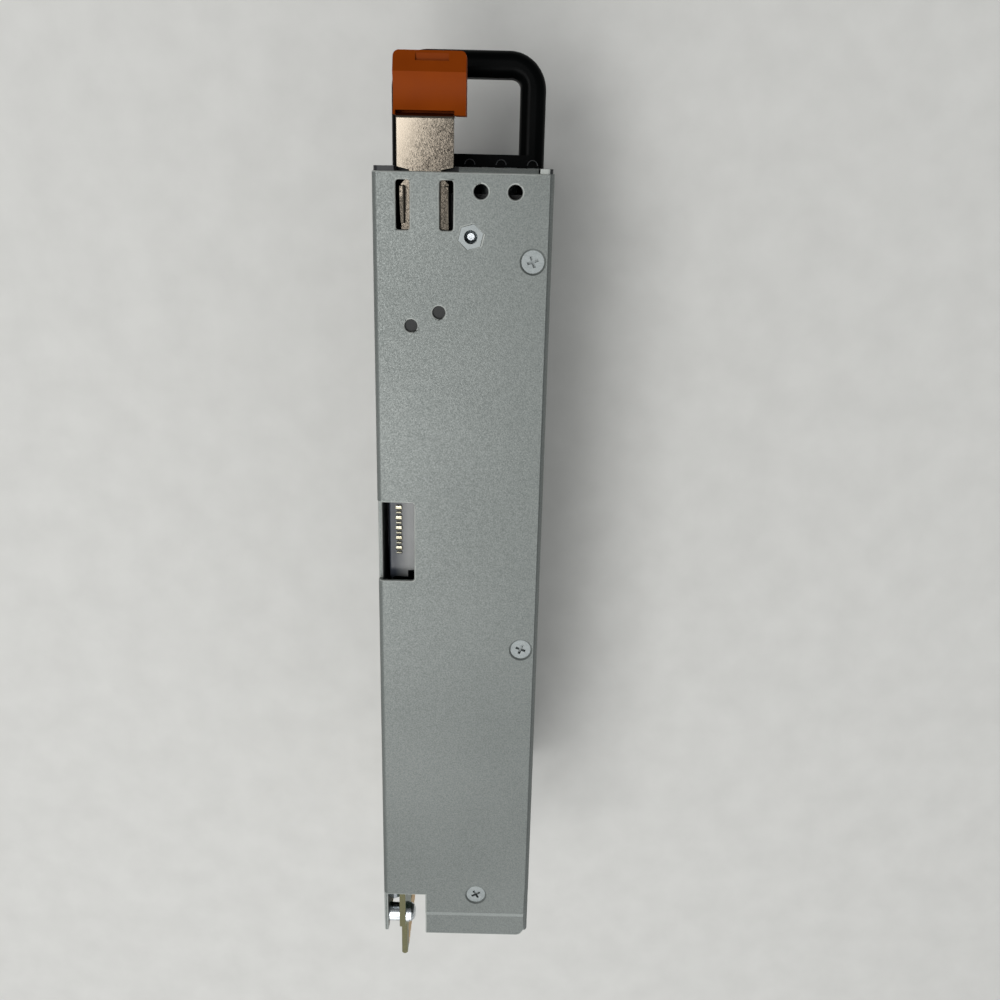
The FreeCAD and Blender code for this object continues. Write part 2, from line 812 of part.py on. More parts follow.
def rear_panel():
    """The perforated panel inside the connector end, folded over under both narrow walls."""
    panel = body("rear_panel_sheet")
    left = board_face + s.header_play
    right = inner_right - s.slip_gap
    front = s.rear_panel_y + s.wall_gauge
    low, high = s.wall_gauge, top_under
    flange_left, flange_right = s.notch_edge_x, inner_right - s.cover_flange - s.panel_inset
    flange_y = s.rear_panel_y - s.panel_flange
    pad(panel, "Y", s.rear_panel_y, front, rectangle((left, low + s.cover_bend), (right, high - s.cover_bend)))
    for outer, inner_way in ((high, -1), (low, 1)):
        gauge = inner_way * s.wall_gauge
        fold = [
            (front, outer + 2 * gauge),
            (front, outer),
            (flange_y, outer),
            (flange_y, outer + gauge),
            (s.rear_panel_y, outer + gauge),
            (s.rear_panel_y, outer + 2 * gauge),
        ]
        pad(panel, "X", flange_left, flange_right, fold)
        bend(panel, s.cover_bend, "X", {"y": front, "z": outer})
    columns = 5
    rows = 13
    holes = []
    for row in range(rows):
        for column in range(columns - row % 2):
            x = (left + right) / 2 + s.rear_pitch * (column - (columns - 1 - row % 2) / 2)
            z = s.case_high / 2 + s.rear_pitch * math.sqrt(0.75) * (row - (rows - 1) / 2)
            start = (x, s.rear_panel_y - 1, z)
            holes.append(hexagon(f"rear_hole_{row}_{column}", s.rear_hole, start, s.wall_gauge + 2, "Y", 0.0))
    x, y = screw_places()[2]
    holes.append(rod("rear_screw_bore", s.screw_hole_dia, (x, y, 0), s.case_high, "Z"))
    holes += nested_sinks("rear_sink")
    return node(cut("rear_panel", panel, *holes), "connector_panel")


def end_panel():
    """The panel at the handle end: a folded sheet with the grille, the inlet cut-out and the latch gate."""
    panel = body("end_sheet")
    side = half - s.panel_inset
    plate_top = top_under - s.panel_flange_drop
    plate_low = s.wall_gauge + s.panel_flange_drop
    left, right = s.panel_flange_left_x, s.panel_flange_right_x
    relief = s.panel_inset
    full = [
        (-side, s.panel_inset),
        (left - relief, s.panel_inset),
        (left - relief, plate_low),
        (right + relief, plate_low),
        (right + relief, s.panel_inset),
        (side, s.panel_inset),
        (side, s.case_high - s.panel_inset),
        (right + relief, s.case_high - s.panel_inset),
        (right + relief, plate_top),
        (left - relief, plate_top),
        (left - relief, s.case_high - s.panel_inset),
        (-side, s.case_high - s.panel_inset),
    ]
    pad(panel, "Y", front_y, face_y, full)
    corners = [{"x": x, "z": z} for x in (-side, side) for z in (s.panel_inset, s.case_high - s.panel_inset)]
    bend(panel, s.panel_corner, "Y", *corners)
    flange_y = front_y - s.panel_flange
    for outer, way, meets in ((top_under, -1, plate_top), (s.wall_gauge, 1, plate_low)):
        gauge = way * s.wall_gauge
        fold = [
            (face_y, meets),
            (face_y, outer),
            (flange_y, outer),
            (flange_y, outer + gauge),
            (front_y, outer + gauge),
            (front_y, meets),
        ]
        pad(panel, "X", left, right, fold)
        bend(panel, s.cover_bend, "X", {"y": face_y, "z": outer})
        bend(panel, s.inner_bend, "X", {"y": front_y, "z": outer + gauge})

    gate_left = s.latch_x - s.blade_wide / 2 - s.blade_gate_gap
    gate = rectangle((gate_left, s.case_high - s.blade_gate_deep), (left - relief, s.case_high + 1))
    inlet = rectangle(
        (-s.inlet_body_wide / 2 - s.slip_gap, s.inlet_z - s.inlet_body_high / 2 - s.slip_gap),
        (s.inlet_body_wide / 2 + s.slip_gap, s.inlet_z + s.inlet_body_high / 2 + s.slip_gap))
    pipes = [(x, pipe_z(), s.pipe_dia + 2 * s.slip_gap) for x in pipe_places()]
    screws = [(x, z, s.screw_hole_dia) for x, z in fan_screw_places()]
    legs = [(x, handle_middle_z(), s.screw_hole_dia) for x in handle_screw_places()]
    pocket(panel, "Y", front_y - 1, face_y + 1, gate, inlet, *pipes, *screws, *legs)
    rounds = [(s.aux_hole_x + step * s.aux_hole_gap, s.aux_hole_y, s.aux_hole_dia) for step in (0, 1)]
    pocket(panel, "Z", top_under - s.wall_gauge - 1, top_under + 1, *rounds)

    holes = grille_holes()
    head_deep = (s.screw_head_dia - s.screw_dia) / 2
    sinks = []
    for number, (x, z) in enumerate(fan_screw_places()):
        start = (x, face_y - head_deep, z)
        sinks.append(cone(f"fan_sink_{number}", s.screw_dia, s.screw_head_dia, start, head_deep, "Y"))
    for number, x in enumerate(handle_screw_places()):
        start = (x, front_y, handle_middle_z())
        sinks.append(cone(f"leg_sink_{number}", s.screw_head_dia, s.screw_dia, start, head_deep, "Y"))
    return node(cut("end_plate", panel, *holes, *sinks), "end_panel")


def grille_holes():
    """Hexagonal holes in front of the fan, packed as a honeycomb inside a circle."""
    holes = []
    reach = int(s.grille_radius.value / s.grille_pitch.value) + 1
    for row in range(-reach, reach + 1):
        for column in range(-reach, reach + 1):
            across = s.grille_pitch * (column + (row % 2) / 2)
            up = s.grille_pitch * math.sqrt(0.75) * row
            if math.hypot(across.value, up.value) > s.grille_radius.value:
                continue
            start = (across, front_y - 1, fan_z + up)
            name = f"grille_{row + reach}_{column + reach}"
            holes.append(hexagon(name, s.grille_hole, start, s.wall_gauge + 2, "Y"))
    return holes


# ---------------------------------------------------------------- latch

def rivet_places():
    """The two rivets of the blade's root: (x, y)."""
    return [(s.rivet_x, s.rivet_y), (s.rivet_x + s.rivet_dx, s.rivet_y + s.rivet_dy)]


def latch_blade():
    """The latch strip: a riveted root, two ears for the slots, a neck, and a tip folded down."""
    blade = body("blade_strip")
    top, under = blade_top, blade_under
    middle = s.latch_x
    root = s.blade_root_wide / 2
    arm = s.ear_spread / 2
    neck = s.neck_wide / 2
    wide = s.blade_wide / 2
    right_side = [
        (root, s.blade_root_y),
        (root, s.blade_root_y + s.blade_root_long),
        (arm, s.blade_root_y + s.blade_root_long + (root - arm)),
        (arm, s.neck_start_y - (arm - neck)),
        (neck, s.neck_start_y),
        (neck, s.neck_end_y),
        (wide, s.shoulder_y),
        (wide, s.blade_tip_y),
    ]
    outline = [(middle + across, along) for across, along in right_side]
    outline += [(middle - across, along) for across, along in reversed(right_side)]
    pad(blade, "Z", under, top, outline)
    fold_y = s.blade_tip_y - s.blade_gauge
    flange = rectangle((middle - wide, fold_y), (middle + wide, s.blade_tip_y))
    pad(blade, "Z", top - s.blade_fold, top, flange)
    bend(blade, s.fold_bend, "X", {"y": s.blade_tip_y, "z": top})
    bend(blade, s.fold_bend - s.blade_gauge, "X", {"y": fold_y, "z": under})
    ear_top = s.case_high + s.ear_proud
    ear = [
        (s.ear_low_y, under),
        (s.ear_low_y + s.ear_long, under),
        (s.ear_low_y + s.ear_long, ear_top),
        (s.ear_low_y + s.ear_ramp, ear_top),
        (s.ear_low_y, s.case_high - s.wall_gauge / 2),
    ]
    pad(blade, "X", middle - arm, middle - arm + s.blade_gauge, ear)
    pad(blade, "X", middle + arm - s.blade_gauge, middle + arm, ear)
    eyes = [(x, y, s.rivet_eye_dia) for x, y in rivet_places()]
    pocket(blade, "Z", under - 1, top + 1, *eyes)
    return node(blade, "latch_blade")


def latch_tab():
    """The press tab: a moulded grip with a thumb dish, gripping the folded tip of the blade."""
    tab = body("tab_moulding")
    left, right = s.tab_left_x, s.tab_left_x + s.tab_wide
    low_z = tab_top - s.tab_deep
    far_z = tab_top - s.tab_far_drop
    notch_y = s.blade_tip_y + s.tab_notch_gap
    profile = [
        (s.tab_low_y, low_z),
        (s.tab_far_y, low_z + s.tab_far_drop),
        (s.tab_far_y, far_z),
        (s.tab_ridge_y, tab_top),
        (s.tab_low_y, tab_top),
    ]
    pad(tab, "X", left, right, profile)
    corners = [{"x": x, "y": s.tab_far_y} for x in (left, right)]
    bend(tab, s.tab_corner, "Z", *corners)
    wide = s.blade_wide / 2 + s.slip_gap
    grip_z = blade_top - s.fold_bend - s.slip_gap
    gap = rectangle((s.latch_x - wide, s.tab_low_y - 1), (s.latch_x + wide, notch_y))
    pocket(tab, "Z", blade_top - s.tab_trench, tab_top + 1, gap)
    slot_front = rectangle(
        (s.latch_x - wide, s.tab_low_y - 1), (s.latch_x + wide, s.blade_tip_y + s.fit_gap))
    pocket(tab, "Z", low_z - 1, grip_z, slot_front)
    fold_low = blade_top - s.blade_fold
    back = s.blade_tip_y - s.blade_gauge - s.fit_gap
    hook_wide = wide - s.tab_corner
    hook_low = low_z + s.slip_gap
    hook = [
        (s.blade_tip_y + s.fit_gap, hook_low),
        (back - s.tab_clip, hook_low),
        (back - s.tab_clip, grip_z),
        (back, grip_z),
        (back, fold_low - s.fit_gap),
        (s.blade_tip_y + s.fit_gap, fold_low - s.fit_gap),
    ]
    pad(tab, "X", s.latch_x - hook_wide, s.latch_x + hook_wide, hook)
    recess_low = s.tab_far_y - s.tab_recess_wide - s.tab_recess_deep
    recess_x = (left + right) / 2 - s.tab_recess_long / 2 + s.tab_recess_deep
    recess = rectangle((recess_x, recess_low), (recess_x + s.tab_recess_long, recess_low + s.tab_recess_wide))
    pocket(tab, "Z", far_z, tab_top + 1, recess)

    dish_y = (s.tab_low_y + s.tab_ridge_y) / 2
    chord = (s.tab_ridge_y - s.tab_low_y) / 2
    rise = math.sqrt(s.tab_dish.value ** 2 - chord.value ** 2)
    dish = rod("tab_dish_tool", s.tab_dish * 2, (left - 1, dish_y, tab_top + rise), s.tab_wide + 2, "X")
    return node(cut("press_tab", tab, dish), "latch_tab")


def latch_rivets():
    """Shouldered rivets: sunk in the wall's holes, a collar under the wall, a head under the blade."""
    top, under = blade_top, blade_under
    rivets = []
    for number, (x, y) in enumerate(rivet_places()):
        collar_z = top + s.rivet_play
        head_z = under - s.rivet_play
        pieces = [
            rod(f"rivet_plug_{number}", s.rivet_wall_dia - 2 * s.fit_gap, (x, y, top_under),
                s.wall_gauge - s.rivet_sunk, "Z"),
            rod(f"rivet_collar_{number}", s.rivet_collar_dia, (x, y, collar_z), top_under - collar_z, "Z"),
            rod(f"rivet_pin_{number}", s.rivet_dia, (x, y, head_z), collar_z - head_z, "Z"),
            rod(f"rivet_head_{number}", s.rivet_collar_dia, (x, y, head_z - s.rivet_head), s.rivet_head, "Z"),
        ]
        rivets.append(fuse(f"rivet_{number}", *pieces))
    return node(group("rivet_set", *rivets), "latch_rivets")


# ---------------------------------------------------------------- handle end

def handle_middle_z():
    """Height of the middle of the handle."""
    return handle_top - s.handle_deep / 2


def handle_screw_places():
    """X of the screws that enter the two legs from inside."""
    reach = s.handle_half - s.handle_leg / 2
    return [-reach, reach]


def handle():
    """The fixed D-shaped pull: round-edged legs and bar on a thin vented foot."""
    loop = body("handle_loop")
    low, high = handle_top - s.handle_deep, handle_top
    outer = rectangle((-s.handle_half, face_y), (s.handle_half, face_y + s.handle_reach))
    hole_half = s.handle_half - s.handle_leg
    foot_y = face_y + s.handle_base
    bar_y = face_y + s.handle_reach - s.handle_bar
    pad(loop, "Z", low, high, outer)
    bend(loop, s.handle_round, "Z", *[{"x": x, "y": face_y + s.handle_reach}
                                      for x in (-s.handle_half, s.handle_half)])
    pocket(loop, "Z", low, high, rectangle((-hole_half, foot_y), (hole_half, bar_y)))
    bend(loop, s.handle_inner_round, "Z", *[{"x": x, "y": bar_y} for x in (-hole_half, hole_half)])
    edges = [{"x": x, "z": z} for x in (-s.handle_half, s.handle_half) for z in (low, high)]
    bend(loop, s.handle_edge, "Y", *edges)
    inner = [{"x": x, "z": z} for x in (-hole_half, hole_half) for z in (low, high)]
    bend(loop, s.handle_edge, "Y", *inner)
    vent = rectangle((-s.handle_vent_long / 2, handle_middle_z() - s.handle_vent_high / 2),
                     (s.handle_vent_long / 2, handle_middle_z() + s.handle_vent_high / 2))
    pocket(loop, "Y", face_y - 1, foot_y + 1, vent)
    pilots = [(x, handle_middle_z(), s.board_screw_dia + 2 * s.fit_gap) for x in handle_screw_places()]
    pocket(loop, "Y", face_y, face_y + s.screw_long + s.slip_gap, *pilots)
    bosses = [(s.boss_first_x + step * s.boss_pitch, face_y, s.boss_dia) for step in range(3)]
    pad(loop, "Z", high - s.boss_high, high + s.boss_high, *bosses)
    behind = rectangle((-s.handle_half, face_y - s.boss_dia), (s.handle_half, face_y))
    pocket(loop, "Z", high - s.boss_high - 1, high + s.boss_high + 1, behind)
    return node(loop, "handle")


def handle_screws():
    """Countersunk screws from behind the panel into the handle's legs."""
    head_deep = (s.screw_head_dia - s.screw_dia) / 2
    screws = []
    for number, x in enumerate(handle_screw_places()):
        start = (x, front_y, handle_middle_z())
        root = (x, front_y + head_deep, handle_middle_z())
        head = cone(f"leg_head_{number}", s.screw_head_dia, s.screw_dia, start, head_deep, "Y")
        shank = rod(f"leg_shank_{number}", s.board_screw_dia, root, s.screw_long, "Y")
        screws.append(fuse(f"leg_screw_{number}", head, shank))
    return node(group("leg_screw_set", *screws), "handle_screws")


def fan_screw_places():
    """The four corner screws of the fan: (x, z)."""
    return [(x * fan_hole_reach, fan_z + z * fan_hole_reach) for x in (-1, 1) for z in (-1, 1)]


def fan_frame():
    """The fan's housing: a square frame with a round duct, corner screw holes and a strutted motor seat."""
    frame = body("fan_housing")
    rear = front_y - s.fan_deep
    side = fan_size / 2
    duct = (as_size(0), fan_z, fan_duct_dia)
    pad(frame, "Y", rear, front_y, rectangle((-side, fan_z - side), (side, fan_z + side)))
    bend(frame, s.fan_corner, "Y", *[{"x": x, "z": fan_z + z} for x in (-side, side) for z in (-side, side)])
    pocket(frame, "Y", rear, front_y, duct)
    holes = [(x, z, s.screw_dia) for x, z in fan_screw_places()]
    pocket(frame, "Y", rear, front_y, *holes)
    seat = (as_size(0), fan_z, s.fan_hub_dia)
    pad(frame, "Y", rear, rear + s.fan_strut, seat)
    strut = s.fan_strut / 2
    reach = fan_duct_dia / 2 + strut
    bars = [
        rectangle((-reach, fan_z - strut), (reach, fan_z + strut)),
        rectangle((-strut, fan_z - reach), (strut, fan_z + reach)),
    ]
    for bar in bars:
        pad(frame, "Y", rear, rear + s.fan_strut, bar)
    tube_dia = s.fan_shaft_dia + 2 * s.fan_strut
    pad(frame, "Y", rear, rear + s.fan_strut + s.fan_hub_long - s.fan_strut, (as_size(0), fan_z, tube_dia))
    bearing_dia = s.fan_shaft_dia + 2 * s.fan_bearing_gap
    pocket(frame, "Y", rear + s.wall_gauge, front_y, (as_size(0), fan_z, bearing_dia))
    return node(frame, "fan_frame")


def fan_rotor():
    """The impeller: a cup over the bearing tube, its shaft, and seven twisted blades."""
    rotor = body("rotor_cup")
    rear = front_y - s.fan_deep
    cup_low = rear + s.fan_strut + s.header_play
    cup_high = cup_low + s.fan_hub_long
    crown = cup_high - s.fan_hub_wall
    axis = as_size(0)
    pad(rotor, "Y", cup_low, cup_high, (axis, fan_z, s.fan_hub_dia))
    pocket(rotor, "Y", cup_low, crown, (axis, fan_z, s.fan_hub_dia - 2 * s.fan_hub_wall))
    shaft_low = rear + s.wall_gauge + s.header_play
    pad(rotor, "Y", shaft_low, cup_high, (axis, fan_z, s.fan_shaft_dia))
    root = s.fan_hub_dia / 2 - s.fan_hub_wall / 2
    tip = fan_blade_dia / 2
    blade = body("rotor_blade")
    thick = s.fan_blade_thick / 2
    sweep = s.fan_hub_long / 3
    vane_side = [
        (-sweep - thick, cup_low + thick),
        (-sweep + thick, cup_low + thick),
        (sweep * 0.2, cup_low + s.fan_hub_long * 0.55),
        (sweep + thick, cup_high - thick),
        (sweep - thick, cup_high - thick),
        (sweep * 0.2 - 2 * thick, cup_low + s.fan_hub_long * 0.55),
    ]
    pad(blade, "Z", fan_z + root, fan_z + tip - s.fan_blade_thick, vane_side)
    vanes = []
    count = 7
    for number in range(count):
        vane = doc.addObject("Part::Feature", f"vane_{number}")
        vane.Shape = blade.Shape.copy()
        centre = FreeCAD.Vector(0, 0, fan_z.value)
        turn = FreeCAD.Rotation(FreeCAD.Vector(0, 1, 0), 360 * number / count)
        vane.Placement = FreeCAD.Placement(FreeCAD.Vector(), turn, centre)
        vanes.append(vane)
    reach = rod("rotor_reach", fan_blade_dia, (0, cup_low, fan_z), s.fan_hub_long, "Y")
    trimmed = doc.addObject("Part::MultiCommon", "vanes_trimmed")
    trimmed.Shapes = [fuse("vane_star", *vanes), reach]
    return node(fuse("rotor", rotor, trimmed), "fan_rotor")


def fan_screws():
    """Countersunk screws through the end panel into the corners of the fan."""
    head_deep = (s.screw_head_dia - s.screw_dia) / 2
    screws = []
    for number, (x, z) in enumerate(fan_screw_places()):
        head = cone(f"fan_head_{number}", s.screw_dia - 2 * s.fit_gap, s.screw_head_dia,
                    (x, face_y - head_deep, z), head_deep, "Y")
        shank = rod(f"fan_shank_{number}", s.screw_dia - 2 * s.fit_gap,
                    (x, face_y - head_deep - s.fan_screw_long, z), s.fan_screw_long, "Y")
        screws.append(fuse(f"fan_screw_{number}", head, shank))
    return node(group("fan_screw_set", *screws), "fan_screws")


def inlet_block(name, wide, high, start, end, bevel):
    """A block of the inlet with the two bevelled corners of its earth side."""
    side, rise = wide / 2, high / 2
    corners = [
        (-side, s.inlet_z - rise),
        (side, s.inlet_z - rise),
        (side, s.inlet_z + rise - bevel),
        (side - bevel, s.inlet_z + rise),
        (-side + bevel, s.inlet_z + rise),
        (-side, s.inlet_z + rise - bevel),
    ]
    block = body(name)
    pad(block, "Y", start, end, corners)
    return block


def pin_places():
    """The earth, line and neutral pins: (name, x, z)."""
    return [
        ("earth", as_size(0), s.inlet_z + s.pin_rise),
        ("line", -s.pin_spread, s.inlet_z - s.pin_rise),
        ("neutral", s.pin_spread, s.inlet_z - s.pin_rise),
    ]


def pin_box(name, x, z, start, end, slack):
    """A blade-shaped pin, or its hole when it is given slack."""
    wide, thick = s.pin_wide / 2 + slack, s.pin_thick / 2 + slack
    return box(name, (x - thick, start, z - wide), (x + thick, end, z + wide))


def ac_inlet():
    """The snap-in mains inlet: flange, body, bevelled mouth and pin holes."""
    back = front_y - s.inlet_body_deep
    mouth_y = face_y + s.inlet_flange_thick - s.inlet_mouth_deep
    body_block = box("inlet_core", (-s.inlet_body_wide / 2, back, s.inlet_z - s.inlet_body_high / 2),
                     (s.inlet_body_wide / 2, face_y, s.inlet_z + s.inlet_body_high / 2))
    flange = body("inlet_flange")
    side, rise = s.inlet_flange_wide / 2, s.inlet_flange_high / 2
    pad(flange, "Y", face_y, face_y + s.inlet_flange_thick,
        rectangle((-side, s.inlet_z - rise), (side, s.inlet_z + rise)))
    corners = [{"x": x, "z": s.inlet_z + z} for x in (-side, side) for z in (-rise, rise)]
    bend(flange, s.inlet_corner, "Y", *corners)
    latches = []
    for number, way in enumerate((-1, 1)):
        latches.append(inlet_catch(f"inlet_catch_{number}", way))
    mouth = inlet_block("inlet_mouth", s.inlet_mouth_wide, s.inlet_mouth_high, mouth_y,
                        face_y + s.inlet_flange_thick + 1, s.inlet_bevel)
    holes = [pin_box(f"{name}_hole", x, z, back - 1, mouth_y + 1, s.fit_gap) for name, x, z in pin_places()]
    shell = fuse("inlet_shell", body_block, flange, *latches)
    return node(cut("inlet", shell, mouth, *holes), "ac_inlet")


def inlet_catch(name, way):
    """A sloped catch that snaps behind the panel on one end of the inlet."""
    catch = body(name)
    root = way * s.inlet_body_wide / 2
    peak = way * (s.inlet_body_wide / 2 + s.wall_gauge)
    wedge = [(root, front_y - s.slip_gap), (peak, front_y - s.slip_gap), (root, front_y - 4 * s.wall_gauge)]
    rise = s.inlet_body_high / 4
    pad(catch, "Z", s.inlet_z - rise, s.inlet_z + rise, wedge)
    return catch


def inlet_pins():
    """The three pins, from their recessed tips to their tails behind the inlet."""
    back = front_y - s.inlet_body_deep
    tip = face_y + s.inlet_flange_thick - s.pin_recess
    pins = [pin_box(f"{name}_pin", x, z, back - s.pin_tail, tip, as_size(0)) for name, x, z in pin_places()]
    return node(group("pin_set", *pins), "inlet_pins")


def pipe_places():
    """X of the three indicator light pipes."""
    return [s.led_first_x + step * s.led_pitch for step in range(3)]


def pipe_z():
    """Height of the light pipes, level with the lamps under the indicator board."""
    return indicator_z - s.led_wide / 2


def light_pipes():
    """Clear light pipes from the lamps to the face of the end panel, each with a shoulder inside."""
    start_y = s.led_board_high_y + s.slip_gap
    pipes = []
    for number, x in enumerate(pipe_places()):
        shaft = rod(f"pipe_shaft_{number}", s.pipe_dia, (x, start_y, pipe_z()), face_y + s.pipe_proud - start_y, "Y")
        collar_dia = s.pipe_dia + 2 * s.fan_hub_wall
        collar = rod(f"pipe_collar_{number}", collar_dia, (x, front_y - s.fan_hub_wall, pipe_z()),
                     s.fan_hub_wall, "Y")
        pipes.append(fuse(f"pipe_{number}", shaft, collar))
    return node(group("pipe_set", *pipes), "light_pipes")


def indicator_board():
    """The small board that hangs from the clinch standoff."""
    low = (s.led_board_low_x, s.led_board_low_y, indicator_z)
    high = (s.led_board_low_x + s.led_board_long, s.led_board_high_y, indicator_z + s.board_thick)
    hole = rod("indicator_hole", s.screw_hole_dia, (s.hex_x, s.hex_y, indicator_z - 1), s.board_thick + 2, "Z")
    return node(cut("indicator", box("indicator_blank", low, high), hole), "indicator_board")


def indicator_lamps():
    """Side-looking lamps under the indicator board, one behind each light pipe."""
    lamps = []
    for number, x in enumerate(pipe_places()):
        low = (x - s.led_wide / 2, s.led_board_high_y - s.led_wide, indicator_z - s.led_wide)
        high = (x + s.led_wide / 2, s.led_board_high_y, indicator_z)
        lamps.append(box(f"lamp_{number}", low, high))
    return node(group("lamp_set", *lamps), "indicator_lamps")


def clinch_standoff():
    """The standoff pressed into the wall: a flush hexagon and a round barrel down to the board."""
    barrel_low = indicator_z + s.board_thick
    head = hexagon("clinch_head", s.hex_flats, (s.hex_x, s.hex_y, top_under), s.wall_gauge, "Z",
                   s.hex_turn.value)
    barrel = rod("clinch_barrel", s.hex_barrel_dia, (s.hex_x, s.hex_y, barrel_low), top_under - barrel_low, "Z")
    bore = rod("clinch_bore", s.hex_bore_dia, (s.hex_x, s.hex_y, barrel_low - 1), s.case_high, "Z")
    return node(cut("clinch", fuse("clinch_blank", head, barrel), bore), "clinch_standoff")


def indicator_screw():
    """The screw from below through the indicator board into the standoff."""
    dia = s.hex_bore_dia - 2 * s.fit_gap
    head = rod("indicator_screw_head", s.board_screw_head,
               (s.hex_x, s.hex_y, indicator_z - s.board_screw_high), s.board_screw_high, "Z")
    tip_z = top_under - s.hex_tip_drop
    shank = rod("indicator_screw_shank", dia, (s.hex_x, s.hex_y, indicator_z), tip_z - indicator_z, "Z")
    tip_long = (dia - s.hex_tip_dia) / 2
    tip = cone("indicator_screw_tip", dia, s.hex_tip_dia, (s.hex_x, s.hex_y, tip_z), tip_long, "Z")
    return node(fuse("indicator_bolt", head, shank, tip), "indicator_screw")


# ---------------------------------------------------------------- main board

def post_places():
    """The posts of the main board: (y, z)."""
    heights = (board_high - s.post_edge, board_low + s.post_edge)
    return [(y, z) for y in (rear_y + s.end_post_set, s.front_post_y) for z in heights]


def main_board():
    """The main board on its edge, with the card edge tongue, the header cut-out and the post holes."""
    board = body("board_blank")
    tongue_y = rear_y - s.card_reach
    board_rear = rear_y + s.board_set_back
    pad(board, "X", board_left, board_face,
        rectangle((board_rear, board_low), (s.board_end_y, board_high)))
    tongue = rectangle((tongue_y, s.card_low_z), (board_rear, card_high))
    pad(board, "X", board_left, board_face, tongue)
    key = rectangle((tongue_y - 1, s.card_key_z), (tongue_y + s.card_key_deep, s.card_key_z + s.card_key_wide))
    low_y, high_y = header_span()
    header_gap = rectangle((low_y - s.slip_gap, header_low - s.slip_gap),
                           (high_y + s.slip_gap, board_high + 1))
    holes = [(y, z, s.board_screw_dia + 2 * s.slip_gap) for y, z in post_places()]
    pocket(board, "X", board_left - 1, board_face + 1, key, header_gap, *holes)
    names = edge_names(board.Tip.Shape, "Z", {"y": tongue_y, "x": board_left}, {"y": tongue_y, "x": board_face})
    before = board.Tip
    bevel = board.newObject("PartDesign::Chamfer", "card_bevel")
    bevel.Base = (before, names)
    bind(bevel, "Size", s.card_bevel)
    doc.recompute()
    return node(board, "main_board")


def gold_fingers():
    """Contact pads on both faces of the card edge: signal pads above the key, power pads below it."""
    start = rear_y - s.card_reach + s.card_bevel + s.slip_gap
    end = start + s.finger_long
    middles = []
    room = card_high - s.card_key_z - s.card_key_wide
    signals = int(room.value / s.finger_pitch.value) - 1
    for number in range(signals):
        middles.append((s.card_key_z + s.card_key_wide + s.finger_pitch * (number + 1), s.finger_wide))
    powers = int((s.card_key_z - s.card_low_z).value / s.power_finger_pitch.value)
    for number in range(powers):
        middle = s.card_key_z - s.power_finger_pitch * (number + 0.5)
        middles.append((middle, s.power_finger_wide))
    pads = []
    for number, (middle, wide) in enumerate(middles):
        for side, low_x in (("left", board_left - s.finger_thick), ("right", board_face)):
            low = (low_x, start, middle - wide / 2)
            high = (low_x + s.finger_thick, end, middle + wide / 2)
            pads.append(box(f"finger_{side}_{number}", low, high))
    return node(group("finger_set", *pads), "gold_fingers")


def board_standoffs():
    """Round posts between the wide wall of the tray and the main board."""
    posts = []
    for number, (y, z) in enumerate(post_places()):
        post = rod(f"post_blank_{number}", s.standoff_dia, (inner_left, y, z), s.board_gap, "X")
        bore = rod(f"post_bore_{number}", s.standoff_bore, (inner_left - 1, y, z), s.board_gap + 2, "X")
        posts.append(cut(f"post_{number}", post, bore))
    return node(group("post_set", *posts), "board_standoffs")


def earth_spacer():
    """The hexagonal bar that earths the board, pressed between the wide wall and the board."""
    middle = (inner_left + board_left) / 2
    start = (middle, rear_y + s.spacer_set, board_high - s.spacer_drop)
    bar = hexagon("spacer_bar", s.spacer_flats, start, s.spacer_long, "Y", s.spacer_turn.value)
    return node(bar, "earth_spacer")


def board_screws():
    """Domed screws that hold the main board to its posts."""
    screws = []
    for number, (y, z) in enumerate(post_places()):
        screw = body(f"board_screw_{number}")
        washer = s.board_washer
        dome = s.board_screw_high - washer
        half_washer = s.board_screw_head / 2
        half_head = half_washer - s.board_washer_rim
        profile = [
            (board_face - s.board_screw_long + s.board_screw_high, z),
            (board_face - s.board_screw_long + s.board_screw_high, z + s.board_screw_dia / 2),
            (board_face, z + s.board_screw_dia / 2),
            (board_face, z + half_washer),
            (board_face + washer, z + half_washer),
            (board_face + washer, z + half_head),
            (board_face + washer + dome * 0.35, z + half_head),
            (board_face + washer + dome * 0.75, z + half_head * 0.8),
            (board_face + washer + dome, z + half_head * 0.45),
            (board_face + washer + dome, z),
        ]
        sketch = draw(screw, "Y", y, [profile])
        spin = screw.newObject("PartDesign::Revolution", f"board_screw_turn_{number}")
        spin.Profile = sketch
        axis_line = len(profile) - 1
        spin.ReferenceAxis = (sketch, [f"Edge{axis_line + 1}"])
        spin.Angle = 360
        doc.recompute()
        screws.append(screw)
    return node(group("board_screw_set", *screws), "board_screws")


def header_span():
    """Where the service header begins and ends along the case."""
    return s.window_low_y - s.header_overrun, s.window_low_y + s.window_long - s.header_play


def service_header():
    """The header behind the window: a body that straddles the board's edge."""
    low_y, high_y = header_span()
    header = body("header_body")
    profile = rectangle((s.header_left_x, header_low), (s.header_left_x + s.header_wide, header_top))
    pad(header, "Y", low_y, high_y, profile)
    bend(header, s.film_bend, "Y", {"x": s.header_left_x, "z": header_top})
    return node(header, "service_header")


def header_contacts():
    """Five contacts of the header: a long and a short blade each, through slots in the film."""
    low_y, high_y = header_span()
    blades = []
    for number in range(5):
        start = high_y - s.contact_first - number * s.contact_pitch
        for name, length, shift in (("long", s.contact_long, 0), ("short", s.contact_long / 2, s.contact_wide)):
            high = start - shift
            low_corner = (board_left, high - length, header_top)
            high_corner = (board_left + s.contact_wide, high, header_top + s.film_thick + s.board_thick / 2)
            blades.append(box(f"contact_{name}_{number}", low_corner, high_corner))
    return node(group("contact_set", *blades), "header_contacts")


